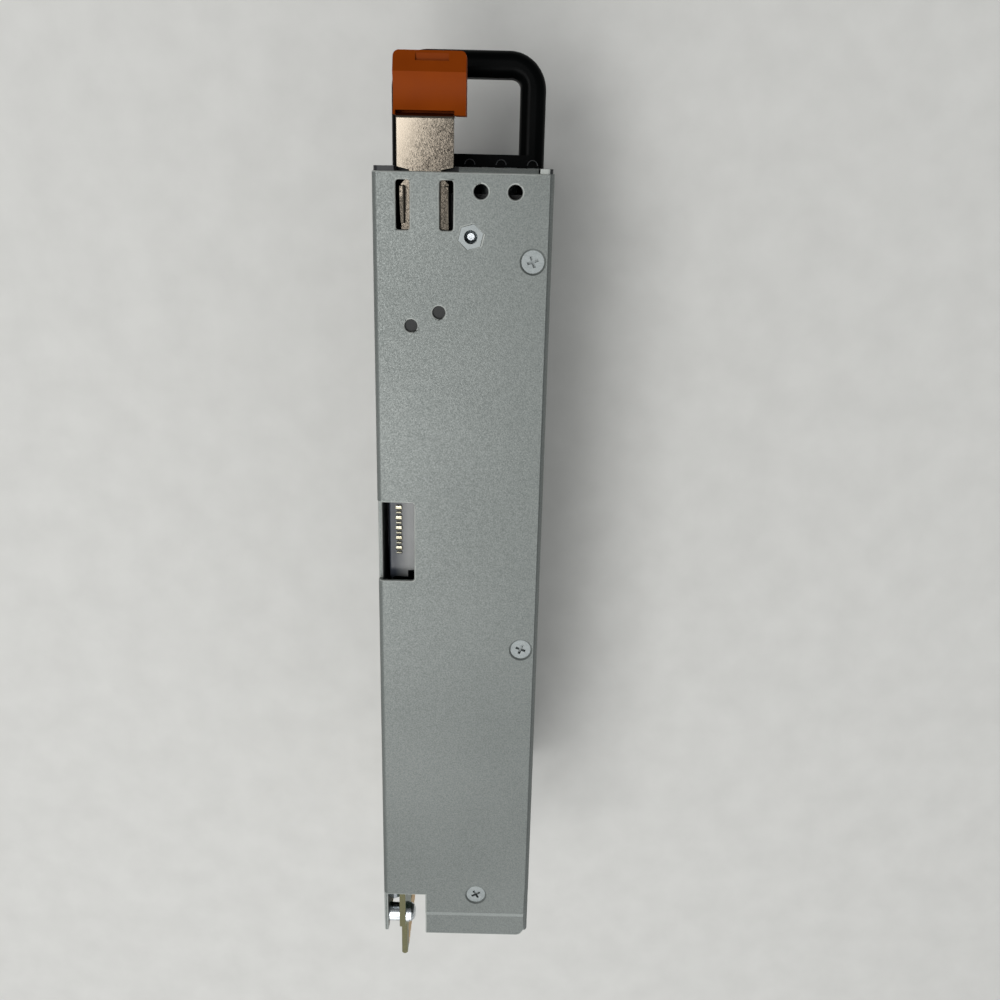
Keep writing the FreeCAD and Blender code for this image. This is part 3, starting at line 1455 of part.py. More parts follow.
def window_film():
    """The smoked film over the header, rolled down at its outer side and cut round the contacts."""
    low_y, high_y = header_span()
    film = body("film_sheet")
    left = s.header_left_x - s.film_thick
    right = s.header_left_x + s.header_wide
    top = header_top + s.film_thick
    low = header_low
    profile = [
        (left, low),
        (s.header_left_x, low),
        (s.header_left_x, header_top),
        (right, header_top),
        (right, top),
        (left, top),
    ]
    pad(film, "Y", low_y, high_y, profile)
    bend(film, s.film_bend, "Y", {"x": s.header_left_x, "z": header_top})
    bend(film, s.film_bend + s.film_thick, "Y", {"x": left, "z": top})
    slots = []
    for number in range(5):
        start = high_y - s.contact_first - number * s.contact_pitch
        slots.append(rectangle((board_left - s.slip_gap, start - s.contact_wide - s.contact_long / 2 - s.slip_gap),
                               (board_left + s.contact_wide + s.slip_gap, start + s.slip_gap)))
    nick = rectangle((right - s.contact_wide, low_y - 1), (right + 1, low_y + s.contact_wide * 2))
    pocket(film, "Z", header_top - 1, top + 1, nick, *slots)
    return node(film, "window_film")


def insulation_sheet():
    """The insulating sheet between the tray's wide wall and the solder side of the board."""
    left = inner_left + s.slip_gap
    low = (left, rear_y + s.edge_step_long, board_low + s.wall_gauge)
    high = (left + s.sheet_thick, s.window_low_y + s.window_long * 2, header_low)
    return node(box("insulation", low, high), "insulation_sheet")


# ---------------------------------------------------------------- power parts on the board

def bulk_capacitor():
    """The bulk capacitor lying along the board, with the rolled bead of its can."""
    x = board_face + s.seat_gap + s.bulk_dia / 2
    start = (x, s.bulk_low_y, s.bulk_z)
    can = rod("bulk_can", s.bulk_dia, start, s.bulk_long, "Y")
    bead_y = s.bulk_low_y + s.bulk_long - 4 * s.bulk_bead
    bead = ring("bulk_bead_tool", s.bulk_dia / 2 + s.bulk_bead / 2, s.bulk_bead, (x, bead_y, s.bulk_z), "Y")
    return node(cut("bulk", can, bead), "bulk_capacitor")


def wound_ring(name, ring_radius, fat, y, z):
    """A toroidal coil standing on the board."""
    x = board_face + s.seat_gap + fat
    return node(ring(f"{name}_ring", ring_radius, fat, (x, y, z), "X"), name)


def board_block(name, y, z, long, wide, high):
    """A moulded block on the board: long along the case, wide in height, high off the board."""
    return node(box(f"{name}_block", (board_face, y, z), (board_face + high, y + long, z + wide)), name)


def fuse_link():
    """The mains fuse: a ceramic tube between two end caps."""
    x = board_face + s.seat_gap + s.fuse_dia / 2
    tube_dia = s.fuse_dia - s.bulk_bead
    tube = rod("fuse_tube", tube_dia, (x, s.fuse_y, s.fuse_low_z), s.fuse_long, "Z")
    low_cap = rod("fuse_cap_low", s.fuse_dia, (x, s.fuse_y, s.fuse_low_z), s.fuse_cap, "Z")
    cap_z = s.fuse_low_z + s.fuse_long - s.fuse_cap
    high_cap = rod("fuse_cap_high", s.fuse_dia, (x, s.fuse_y, cap_z), s.fuse_cap, "Z")
    return node(fuse("fuse_body", tube, low_cap, high_cap), "mains_fuse")


def heatsinks():
    """Two finned extrusions that stand on the board, with their fins towards the upper wall."""
    pieces = []
    fins = 6
    for name, start_y in (("front", s.sink_front_y), ("rear", s.sink_rear_y)):
        sink = body(f"sink_{name}")
        base_top = s.sink_base_z + s.sink_base
        left, right = board_face, board_face + s.sink_wide
        plate = rectangle((left, s.sink_base_z), (right, base_top))
        pad(sink, "Y", start_y, start_y + s.sink_long, plate)
        pitch = (s.sink_wide - s.sink_fin_thick) / (fins - 1)
        rails = []
        for number in range(fins):
            fin_left = left + pitch * number
            rails.append(rectangle((fin_left, base_top), (fin_left + s.sink_fin_thick, base_top + s.sink_fin)))
        pad(sink, "Y", start_y, start_y + s.sink_long, *rails)
        pieces.append(sink)
    return node(group("sink_set", *pieces), "heatsinks")


def power_transistors():
    """Flat power devices clamped under the heatsinks."""
    devices = []
    low_z = s.sink_base_z - s.device_thick
    starts = [s.sink_front_y + s.wall_gauge + step * s.device_pitch for step in range(2)]
    starts += [s.sink_rear_y + s.wall_gauge + step * s.device_pitch for step in range(3)]
    for number, y in enumerate(starts):
        low = (board_face, y, low_z)
        high = (board_face + s.device_high, y + s.device_wide, s.sink_base_z)
        devices.append(box(f"device_{number}", low, high))
    return node(group("device_set", *devices), "power_transistors")


def bridge_rectifier():
    """The bridge rectifier at the end of the front heatsink."""
    y = s.sink_front_y + s.wall_gauge + 2 * s.device_pitch
    low = (board_face, y, s.sink_base_z - s.device_thick)
    high = (board_face + s.bridge_high, y + s.bridge_long, s.sink_base_z)
    return node(box("bridge", low, high), "bridge_rectifier")


def core_span():
    """Low and high corners of the transformer's core."""
    low = (board_face + s.seat_gap, s.core_low_y, s.core_z - s.core_thick / 2)
    high = (board_face + s.seat_gap + s.core_high, s.core_low_y + s.core_long, s.core_z + s.core_thick / 2)
    return low, high


def transformer_core():
    """The ferrite core: two E halves closed into a frame round the middle leg."""
    low, high = core_span()
    core = body("core_ferrite")
    middle = s.core_low_y + s.core_long / 2
    leg = s.core_leg / 2
    pad(core, "Z", low[2], high[2], rectangle((low[0], low[1]), (high[0], high[1])))
    windows = [
        rectangle((low[0] + s.core_cheek, low[1] + s.core_cheek), (high[0] - s.core_cheek, middle - leg)),
        rectangle((low[0] + s.core_cheek, middle + leg), (high[0] - s.core_cheek, high[1] - s.core_cheek)),
    ]
    pocket(core, "Z", low[2], high[2], *windows)
    return node(core, "transformer_core")


def transformer_winding():
    """The winding round the middle leg, rounded where the wire turns."""
    low, high = core_span()
    coil = body("coil")
    middle = s.core_low_y + s.core_long / 2
    reach_y = s.core_long / 2 - s.core_cheek - s.winding_gap
    reach_z = s.winding_wide / 2
    start, end = low[0] + s.core_cheek + s.winding_gap, high[0] - s.core_cheek - s.winding_gap
    pad(coil, "X", start, end, rectangle((middle - reach_y, s.core_z - reach_z), (middle + reach_y, s.core_z + reach_z)))
    corners = [{"y": middle + y, "z": s.core_z + z} for y in (-reach_y, reach_y) for z in (-reach_z, reach_z)]
    bend(coil, s.winding_wide / 5, "X", *corners)
    leg_y = s.core_leg / 2 + s.winding_gap
    leg_z = s.core_thick / 2 + s.winding_gap
    pocket(coil, "X", start, end, rectangle((middle - leg_y, s.core_z - leg_z), (middle + leg_y, s.core_z + leg_z)))
    return node(coil, "transformer_winding")


def output_capacitors():
    """Two rows of small cans beside the connector panel."""
    cans = []
    for row in range(3):
        for column in range(2):
            y = s.can_low_y + column * s.can_pitch
            z = s.can_low_z + row * s.can_pitch
            cans.append(rod(f"can_{row}_{column}", s.can_dia, (board_face, y, z), s.can_high, "X"))
    return node(group("can_set", *cans), "output_capacitors")


def control_board():
    """The control board, standing on the main board along the air flow."""
    low = (board_face, s.card_board_low_y, s.card_board_z)
    high = (board_face + s.card_board_high, s.card_board_low_y + s.card_board_long,
            s.card_board_z + s.board_thick)
    return node(box("control", low, high), "control_board")


# ---------------------------------------------------------------- leads

def tube(name, dia, points):
    """A round lead along straight runs joined by tangent arcs."""
    path = [FreeCAD.Vector(*[as_size(value).value for value in point]) for point in points]
    edges = []
    start = path[0]
    for before, corner, after in zip(path, path[1:], path[2:]):
        inward = (corner - before).normalize()
        outward = (after - corner).normalize()
        turn = inward.getAngle(outward)
        run = 0.45 * min((corner - before).Length, (after - corner).Length)
        radius = run / math.tan(turn / 2)
        arc_start = corner - inward * run
        arc_end = corner + outward * run
        side = (outward - inward).normalize()
        centre = corner + side * math.hypot(radius, run)
        middle = centre - side * radius
        edges.append(Part.LineSegment(start, arc_start).toShape())
        edges.append(Part.Arc(arc_start, middle, arc_end).toShape())
        start = arc_end
    edges.append(Part.LineSegment(start, path[-1]).toShape())
    wire = Part.Wire(edges)
    circle = Part.Circle(path[0], path[1] - path[0], as_size(dia).value / 2)
    sweep = doc.addObject("Part::Feature", name)
    sweep.Shape = wire.makePipeShell([Part.Wire([circle.toShape()])], True, False)
    return sweep


def inlet_leads():
    """Leads from the three tails of the inlet down to the main board."""
    tail_y = front_y - s.inlet_body_deep - s.pin_tail
    leads = []
    for number, (name, x, z) in enumerate(pin_places()):
        turn_y = s.board_end_y - s.lead_first - number * s.lead_pitch
        points = [(x, tail_y, z), (x, turn_y, z), (board_face, turn_y, z)]
        leads.append(tube(f"{name}_lead", s.lead_dia, points))
    return node(group("lead_set", *leads), "inlet_leads")


MAKERS = [
    chassis_tray, side_cover, case_screws, rear_panel, end_panel, latch_blade, latch_tab, latch_rivets,
    handle, handle_screws, fan_frame, fan_rotor, fan_screws, ac_inlet, inlet_pins, light_pipes,
    indicator_board, indicator_lamps, clinch_standoff, indicator_screw, main_board, gold_fingers,
    board_standoffs, earth_spacer, board_screws, service_header, header_contacts, window_film, insulation_sheet,
    bulk_capacitor, fuse_link, heatsinks, power_transistors, bridge_rectifier, transformer_core,
    transformer_winding, output_capacitors, control_board, inlet_leads,
]


def main():
    """Build every sub-part, check the document, and write one file for each sub-part."""
    for make in MAKERS:
        make()
    wound_ring("boost_choke", s.boost_ring, s.boost_fat, s.boost_y, s.boost_z)
    wound_ring("line_choke", s.line_ring, s.line_fat, s.line_y, s.line_z)
    wound_ring("output_choke", s.output_ring, s.output_fat, s.output_y, s.line_z)
    board_block("x_capacitor", s.xcap_low_y, s.xcap_low_z, s.xcap_long, s.xcap_thick, s.xcap_high)
    board_block("inrush_relay", s.relay_low_y, s.relay_low_z, s.relay_long, s.relay_wide, s.relay_high)
    doc.recompute()
    for item in doc.Objects:
        if any(state in ("Invalid", "Error") for state in item.State):
            raise RuntimeError(f"{item.Name} did not recompute: {item.State}")
    os.makedirs("parts", exist_ok=True)
    for solid in finished:
        if solid.Shape.isNull() or not solid.Shape.isValid():
            raise RuntimeError(f"{solid.Label} has no valid shape")
        solid.Shape.exportStep(f"parts/{solid.Label}.step")
        print(f"{solid.Label}: {len(solid.Shape.Solids)} solids, {solid.Shape.Volume:.1f} mm3")


main()
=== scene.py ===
"""Looks of a hot swap server power supply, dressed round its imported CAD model.

The unit stands on one narrow wall, with its latch and handle towards +Y and its card edge towards -Y.
"""

import json
import logging
import math
from dataclasses import dataclass, field
from enum import Enum

import bmesh
import bpy
import numpy as np
from mathutils import Matrix, Vector

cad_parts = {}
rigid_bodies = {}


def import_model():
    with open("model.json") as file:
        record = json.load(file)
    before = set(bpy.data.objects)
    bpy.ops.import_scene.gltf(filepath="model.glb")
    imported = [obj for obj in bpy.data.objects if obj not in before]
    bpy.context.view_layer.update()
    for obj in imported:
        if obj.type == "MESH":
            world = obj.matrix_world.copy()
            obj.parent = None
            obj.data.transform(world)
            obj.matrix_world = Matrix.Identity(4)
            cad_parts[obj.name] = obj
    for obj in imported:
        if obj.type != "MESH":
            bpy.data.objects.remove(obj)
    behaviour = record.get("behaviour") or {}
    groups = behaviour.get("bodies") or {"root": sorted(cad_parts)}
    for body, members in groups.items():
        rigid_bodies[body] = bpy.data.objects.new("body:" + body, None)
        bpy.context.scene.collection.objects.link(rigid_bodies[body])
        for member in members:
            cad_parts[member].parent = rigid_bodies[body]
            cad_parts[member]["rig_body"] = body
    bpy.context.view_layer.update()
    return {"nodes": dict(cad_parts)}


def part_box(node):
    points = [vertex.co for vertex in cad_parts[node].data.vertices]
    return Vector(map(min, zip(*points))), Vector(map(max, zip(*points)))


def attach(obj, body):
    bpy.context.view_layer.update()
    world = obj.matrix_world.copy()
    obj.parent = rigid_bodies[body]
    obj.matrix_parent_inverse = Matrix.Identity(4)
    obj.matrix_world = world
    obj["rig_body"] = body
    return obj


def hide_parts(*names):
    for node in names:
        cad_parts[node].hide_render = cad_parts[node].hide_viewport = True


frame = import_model()
SLOTS = {name: node.material_slots[0].material.name for name, node in frame["nodes"].items()}

MM = 0.001  # one millimetre in metres
WELD = 0.0005  # points closer than this are one point, in millimetres
FLAT = 0.5  # faces that turn by less than this are one face, in degrees
BEND_FACET = 18.0  # edges that turn by less than this are facets of a bend, in degrees
FOLD = 40.0  # edges that turn by more than this are broken, in degrees
EDGE_SLOT = 1  # the material slot of a broken edge, after the piece's own
log = logging.getLogger("power_supply")

Socket = bpy.types.NodeSocket
Shader = bpy.types.ShaderNodeBsdfPrincipled


class Along(Enum):
    """The direction that a grain or a row of things runs in."""

    X = 0
    Y = 1
    Z = 2


def linear(code: str) -> tuple[float, float, float, float]:
    """Turns an sRGB colour to linear light.

    Args:
        code: the colour as six hex digits after a #.

    Returns:
        Red, green, blue and an alpha of one.
    """
    values = np.array([int(code[i : i + 2], 16) for i in (1, 3, 5)]) / 255
    light = np.where(values <= 0.04045, values / 12.92, ((values + 0.055) / 1.055) ** 2.4)
    return (*light.tolist(), 1.0)


def add(
    tree: bpy.types.NodeTree, kind: str, inputs: dict | None = None, **settings: object
) -> bpy.types.Node:
    """Adds a node with its settings and links.

    Args:
        tree: the node tree that it goes in.
        kind: the node's type, without ShaderNode in front.
        inputs: a value or an output socket for each input, by its name or number.
        settings: the node's own properties.

    Returns:
        The node.
    """
    node = tree.nodes.new("ShaderNode" + kind)
    for key, value in settings.items():
        setattr(node, key, value)
    for key, value in (inputs or {}).items():
        if isinstance(value, Socket):
            tree.links.new(value, node.inputs[key])
        else:
            node.inputs[key].default_value = value
    return node


def per_mm(size: float) -> float:
    """Gives the scale at which a texture's features are size millimetres wide."""
    return 1 / (size * MM)


@dataclass(frozen=True)
class Finish:
    """A finish: its name, its base or darker colour, its gloss, and the pattern that a subclass adds."""

    name: str
    colour: str
    roughness: float = 0.5
    metallic: float = 0.0

    def material(self) -> bpy.types.Material:
        """Makes the material the first time and gives the same one after that.

        Returns:
            The material.
        """
        known = bpy.data.materials.get(self.name)
        if known:
            return known
        made = bpy.data.materials.new(self.name)
        made.use_nodes = True
        tree = made.node_tree
        tree.nodes.clear()
        place = add(tree, "TexCoord").outputs["Object"]
        shader = add(
            tree,
            "BsdfPrincipled",
            {
                "Base Color": linear(self.colour),
                "Roughness": self.roughness,
                "Metallic": self.metallic,
            },
        )
        self.pattern(tree, shader, place)
        add(tree, "OutputMaterial", {"Surface": shader.outputs[0]})
        return made

    def pattern(self, tree: bpy.types.NodeTree, shader: Shader, place: Socket) -> None:
        """Adds the finish's own pattern.

        Args:
            tree: the material's node tree.
            shader: the shader that the pattern feeds.
            place: the object coordinates.
        """
        raise NotImplementedError

    def shades(
        self, tree: bpy.types.NodeTree, factor: Socket, dark: str, light: str, low: float, high: float
    ) -> Socket:
        """Turns a grey pattern to a run of colour.

        Args:
            tree: the material's node tree.
            factor: the pattern.
            dark: the colour where the pattern is at low.
            light: the colour where the pattern is at high.
            low: the pattern's value at the dark end.
            high: the pattern's value at the light end.

        Returns:
            The colour.
        """
        ramp = add(tree, "ValToRGB", {"Fac": factor})
        first, last = ramp.color_ramp.elements
        first.position, first.color = low, linear(dark)
        last.position, last.color = high, linear(light)
        return ramp.outputs["Color"]

    def spread(self, tree: bpy.types.NodeTree, factor: Socket, low: float, high: float) -> Socket:
        """Carries a pattern of about 0.3 to 0.7 over to a range of values.

        Args:
            tree: the material's node tree.
            factor: the pattern.
            low: the value where the pattern is low.
            high: the value where the pattern is high.

        Returns:
            The value.
        """
        node = add(tree, "MapRange", {0: factor, 1: 0.3, 2: 0.7, 3: low, 4: high})
        return node.outputs[0]

    def blend(self, tree: bpy.types.NodeTree, share: float, first: Socket, second: Socket) -> Socket:
        """Mixes two patterns.

        Args:
            tree: the material's node tree.
            share: the second pattern's share.
            first: the first pattern.
            second: the second pattern.

        Returns:
            The mixed pattern.
        """
        return add(tree, "Mix", {0: share, 2: first, 3: second}, data_type="FLOAT").outputs[0]

    def relief(self, tree: bpy.types.NodeTree, shader: Shader, height: Socket, depth: float) -> None:
        """Raises a pattern as a bump.

        Args:
            tree: the material's node tree.
            shader: the shader that the bump feeds.
            height: the pattern.
            depth: how far the pattern's whites stand over its blacks, in millimetres.
        """
        bump = add(tree, "Bump", {"Height": height, "Strength": 1.0, "Distance": depth * MM})
        tree.links.new(bump.outputs["Normal"], shader.inputs["Normal"])


@dataclass(frozen=True)
class ZincCoatedSheet(Finish):
    """Electro-galvanised steel sheet: a grey with a fine pale sparkle and a soft sheen.

    Its crystals are drawn coarser than the real ones, so that they show. Sizes are in millimetres.
    """

    light: str = "#787c79"
    crystal: float = 0.3
    cloud: float = 40.0
    cloud_share: float = 0.3
    depth: float = 0.03

    def pattern(self, tree: bpy.types.NodeTree, shader: Shader, place: Socket) -> None:
        """Adds the zinc crystals and a faint cloud."""
        grain = add(tree, "TexNoise", {"Vector": place, "Scale": per_mm(self.crystal), "Detail": 3.0})
        cloud = add(tree, "TexNoise", {"Vector": place, "Scale": per_mm(self.cloud), "Detail": 2.0})
        both = self.blend(tree, self.cloud_share, grain.outputs["Fac"], cloud.outputs["Fac"])
        colour = self.shades(tree, both, self.colour, self.light, 0.3, 0.72)
        tree.links.new(colour, shader.inputs["Base Color"])
        gloss = self.spread(tree, grain.outputs["Fac"], self.roughness + 0.1, self.roughness - 0.08)
        tree.links.new(gloss, shader.inputs["Roughness"])
        self.relief(tree, shader, grain.outputs["Fac"], self.depth)


@dataclass(frozen=True)
class DrawnMetal(Finish):
    """Rolled, drawn or plated metal: bright, with hairlines along one direction.

    Its hairlines are drawn wider than the real ones, so that they show. Sizes are in millimetres.
    """

    light: str = "#ffffff"
    hairline: float = 0.12
    stretch: float = 25.0
    along: Along = Along.Y
    depth: float = 0.003
    mark: float = 3.0
    mottle: float = 0.5

    def pattern(self, tree: bpy.types.NodeTree, shader: Shader, place: Socket) -> None:
        """Adds the hairlines and a soft cloud of handling marks."""
        scale = [1.0, 1.0, 1.0]
        scale[self.along.value] = 1 / self.stretch
        drawn = add(tree, "Mapping", {"Vector": place, "Scale": scale}).outputs[0]
        lines = add(tree, "TexNoise", {"Vector": drawn, "Scale": per_mm(self.hairline), "Detail": 2.0})
        cloud = add(tree, "TexNoise", {"Vector": place, "Scale": per_mm(self.mark), "Detail": 4.0})
        both = self.blend(tree, self.mottle, lines.outputs["Fac"], cloud.outputs["Fac"])
        colour = self.shades(tree, both, self.colour, self.light, 0.35, 0.65)
        tree.links.new(colour, shader.inputs["Base Color"])
        gloss = self.spread(tree, both, self.roughness - 0.05, self.roughness + 0.1)
        tree.links.new(gloss, shader.inputs["Roughness"])
        self.relief(tree, shader, both, self.depth)


@dataclass(frozen=True)
class MouldedPlastic(Finish):
    """Injection-moulded plastic: an even colour with a fine eroded grain.

    A grain that is too fine to show is drawn coarser, so that it shows. Its gleam is the shader's specular
    level. Sizes are in millimetres.
    """

    light: str = "#ffffff"
    grain: float = 0.22
    depth: float = 0.006
    tone: float = 9.0
    gleam: float = 0.4

    def pattern(self, tree: bpy.types.NodeTree, shader: Shader, place: Socket) -> None:
        """Adds the mould's grain and a slow change of tone."""
        shader.inputs["Specular IOR Level"].default_value = self.gleam
        grain = add(tree, "TexNoise", {"Vector": place, "Scale": per_mm(self.grain), "Detail": 2.0})
        cloud = add(tree, "TexNoise", {"Vector": place, "Scale": per_mm(self.tone), "Detail": 3.0})
        colour = self.shades(tree, cloud.outputs["Fac"], self.colour, self.light, 0.3, 0.75)
        tree.links.new(colour, shader.inputs["Base Color"])
        gloss = self.spread(tree, cloud.outputs["Fac"], self.roughness - 0.04, self.roughness + 0.06)
        tree.links.new(gloss, shader.inputs["Roughness"])
        self.relief(tree, shader, grain.outputs["Fac"], self.depth)


@dataclass(frozen=True)
class GlassLaminate(Finish):
    """Glass-epoxy board: green mask with tracks on its two faces, and straw-coloured cut edges.

    Its faces look along X. Its plies are drawn as a noise of about their own thickness. Sizes are in
    millimetres.
    """

    track: str = "#255a34"
    edge: str = "#5e5b2a"
    ply_shade: str = "#48451b"
    ply: float = 0.2
    ply_depth: float = 0.01
    track_gap: float = 2.6
    randomness: float = 0.6
    face_from: float = 0.7

    def pattern(self, tree: bpy.types.NodeTree, shader: Shader, place: Socket) -> None:
        """Adds the tracks on the faces and the glass plies along the edges."""
        grid = add(
            tree,
            "TexVoronoi",
            {"Vector": place, "Scale": per_mm(self.track_gap), "Randomness": self.randomness},
            distance="CHEBYCHEV",
            feature="DISTANCE_TO_EDGE",
        )
        tracks = self.shades(tree, grid.outputs["Distance"], self.track, self.colour, 0.06, 0.1)
        plies = add(tree, "TexNoise", {"Vector": place, "Scale": per_mm(self.ply), "Detail": 1.0})
        edge = self.shades(tree, plies.outputs["Fac"], self.ply_shade, self.edge, 0.35, 0.65)
        facing = add(tree, "SeparateXYZ", {0: add(tree, "TexCoord").outputs["Normal"]})
        across = add(tree, "Math", {0: facing.outputs[0]}, operation="ABSOLUTE")
        face = add(tree, "Math", {0: across.outputs[0], 1: self.face_from}, operation="GREATER_THAN")
        colour = add(tree, "Mix", {0: face.outputs[0], 6: edge, 7: tracks}, data_type="RGBA")
        tree.links.new(colour.outputs[2], shader.inputs["Base Color"])
        self.relief(tree, shader, plies.outputs["Fac"], self.ply_depth)


@dataclass(frozen=True)
class ClearMoulding(Finish):
    """Clear or smoked plastic: light passes through, and its skin is glossy."""

    passes: float = 0.95
    index: float = 1.49
    wave: float = 4.0
    depth: float = 0.02

    def pattern(self, tree: bpy.types.NodeTree, shader: Shader, place: Socket) -> None:
        """Adds the transmission and a slight waviness of the skin."""
        shader.inputs["Transmission Weight"].default_value = self.passes
        shader.inputs["IOR"].default_value = self.index
        wave = add(tree, "TexNoise", {"Vector": place, "Scale": per_mm(self.wave), "Detail": 1.0})
        gloss = self.spread(tree, wave.outputs["Fac"], self.roughness, self.roughness + 0.05)
        tree.links.new(gloss, shader.inputs["Roughness"])
        self.relief(tree, shader, wave.outputs["Fac"], self.depth)


@dataclass(frozen=True)
class FilmWithPaintedReflection(Finish):
    """Smoked polyester film with a painted reflection: dark and blue at its outer side, paler towards the
    inner side.

    The painted reflection runs between the places outer and inner along X: dark where the film curves down
    at its outer side, pale where its flat faces the light. Sizes are in millimetres.
    """

    light: str = "#7f807f"
    outer: float = -16.0
    inner: float = -12.0
    gleam: float = 0.2
    wave: float = 3.0
    depth: float = 0.05

    def pattern(self, tree: bpy.types.NodeTree, shader: Shader, place: Socket) -> None:
        """Adds the painted reflection across the sheet and a slight waviness of its skin."""
        shader.inputs["Specular IOR Level"].default_value = self.gleam
        x = add(tree, "SeparateXYZ", {0: place}).outputs[0]
        # painted reflection: dark at the outer side, pale at the inner side
        painted_reflection = add(
            tree, "MapRange", {0: x, 1: self.outer * MM, 2: self.inner * MM, 3: 0.0, 4: 1.0}, clamp=True
        )
        colour = self.shades(tree, painted_reflection.outputs[0], self.colour, self.light, 0.1, 0.9)
        tree.links.new(colour, shader.inputs["Base Color"])
        wave = add(tree, "TexNoise", {"Vector": place, "Scale": per_mm(self.wave), "Detail": 1.0})
        gloss = self.spread(tree, wave.outputs["Fac"], self.roughness, self.roughness + 0.08)
        tree.links.new(gloss, shader.inputs["Roughness"])
        self.relief(tree, shader, wave.outputs["Fac"], self.depth)


@dataclass(frozen=True)
class PaintedBoard(Finish):
    """A matt painted board with a barely seen mottle."""

    light: str = "#cecdc9"
    patch: float = 12.0

    def pattern(self, tree: bpy.types.NodeTree, shader: Shader, place: Socket) -> None:
        """Adds the mottle."""
        mottle = add(tree, "TexNoise", {"Vector": place, "Scale": per_mm(self.patch), "Detail": 4.0})
        colour = self.shades(tree, mottle.outputs["Fac"], self.colour, self.light, 0.3, 0.7)
        tree.links.new(colour, shader.inputs["Base Color"])


# Cold-rolled sheet with an electro-galvanised zinc coat: a soft grey sheen with a fine sparkle, which is
# drawn coarse so that it shows.
CASE_STEEL = ZincCoatedSheet("electro_galvanised_steel", "#5a5f5c", 0.42, 0.4)
# The same sheet along the joggle's slope: smoother, and paler as a painted highlight where the slope faces
# the lamps.
JOGGLE_HIGHLIGHT = ZincCoatedSheet("joggle_painted_highlight", "#7d827f", 0.36, 0.4, light="#9a9e9b")
# Its sheared and folded edges: a pale, dull line that is a painted highlight along the rims.
EDGE_HIGHLIGHT = DrawnMetal("painted_edge_highlight", "#8f938f", 0.5, 0.3, light="#a6a9a4")
# Dull zinc plate on cold-headed screws and the clinched standoff: flat grey with no grain.
SCREW_ZINC = DrawnMetal(
    "dull_zinc_plate", "#7b8080", 0.48, 0.7, light="#949998", hairline=0.3, stretch=1.0
)
# The latch's rivets, near black with a faint shine: painted shade for the dark holes that they sit in.
RIVET_SHADE = DrawnMetal(
    "rivet_painted_shade", "#151616", 0.5, 0.5, light="#2c2d2c", hairline=0.3, stretch=1.0
)
# Cold-rolled stainless spring strip: warm and bright, with a fine speckle that is drawn coarse so that it
# shows.
SPRING_STEEL = DrawnMetal(
    "stainless_spring_strip",
    "#645d53",
    0.11,
    1.0,
    light="#7a7267",
    hairline=0.15,
    stretch=3.0,
    depth=0.0006,
    mottle=0.15,
)
# Bright zinc plate on turned and headed parts: clear highlights on a blue-white metal.
ZINC_PLATE = DrawnMetal(
    "bright_zinc_plate", "#9fa4a8", 0.22, 1.0, light="#e4e8ea", hairline=0.1, stretch=1.0
)
# Hard gold plate on the card's contacts: a warm shine with wipe lines along them, drawn wide so that they
# show.
GOLD_PLATE = DrawnMetal("hard_gold_plate", "#9a7430", 0.3, 1.0, light="#cfa55a")
# Tin plate on stamped brass contacts and pins: a pale shine with a yellow cast.
PIN_METAL = DrawnMetal("tin_plated_brass", "#9f9880", 0.25, 1.0, light="#d4cfbb")
# Extruded aluminium heatsinks: soft grey with lines along them.
ALUMINIUM = DrawnMetal("extruded_aluminium", "#9da0a2", 0.38, 1.0, light="#c9cccd")
# Powder coat on sheet steel: near black and satin, with a slight orange peel.
BLACK_PAINT = MouldedPlastic(
    "black_powder_coat", "#141516", 0.45, light="#1d1e20", grain=0.3, depth=0.01
)
# Moulded glass-filled nylon: black, with a low gleam on its curves.
BLACK_PLASTIC = MouldedPlastic(
    "black_glass_filled_nylon", "#020303", 0.34, light="#050606", gleam=0.03
)
# Moulded ABS: an even terracotta orange with almost no gloss.
ORANGE_PLASTIC = MouldedPlastic(
    "terracotta_abs", "#742f02", 0.5, light="#7f3603", depth=0.003, gleam=0.06
)
# Polyester tape round the mains capacitor: plain yellow with a little gloss.
YELLOW_PLASTIC = MouldedPlastic("yellow_polyester_tape", "#c79a1c", 0.4, light="#d9ae2e")
# Moulded PBT: a dark blue box with a satin face.
RELAY_PLASTIC = MouldedPlastic("dark_blue_pbt", "#15202e", 0.35, light="#1d2b3c")
# Glazed ceramic tube of the fuse: off-white and glossy.
FUSE_CERAMIC = MouldedPlastic("glazed_ceramic", "#d8d4c6", 0.2, light="#ece9dd")
# Extruded PVC over the leads: dark, with a soft shine.
LEAD_SLEEVE = MouldedPlastic("pvc_lead_insulation", "#20201f", 0.38, light="#2c2c2a")
# PET sleeve shrunk on the capacitors: near black, with a tight gloss.
CAPACITOR_SLEEVE = MouldedPlastic("pet_capacitor_sleeve", "#141517", 0.25, light="#1d1f23")
# Sintered ferrite cores: matt charcoal with a gritty face.
FERRITE = MouldedPlastic("sintered_ferrite", "#26282a", 0.62, light="#3a3c3d", grain=0.4, depth=0.02)
# Enamelled copper wire: red-brown under a thin lacquer shine.
ENAMELLED_COPPER = DrawnMetal("enamelled_copper_wire", "#7c3512", 0.28, 0.9, light="#c06a2c")
# Milled glass-epoxy laminate under a green mask: straw-coloured edges, fine tracks on the faces.
BOARD = GlassLaminate("glass_epoxy_laminate", "#1d4a2c", 0.35)
# The same laminate in near black, faces and edges alike: painted shade, so that the board behind the light
# pipes stays dark in the holes.
BOARD_IN_PAINTED_SHADE = GlassLaminate(
    "laminate_painted_shade", "#0c0f0d", 0.4, track="#141a16", edge="#1a1a12", ply_shade="#121210"
)
# Thin pale arcs on the crests of the foot's moulded rings: a painted highlight on the black nylon.
RING_HIGHLIGHT = MouldedPlastic("ring_painted_highlight", "#3a3b3c", 0.35, light="#4a4b4c")
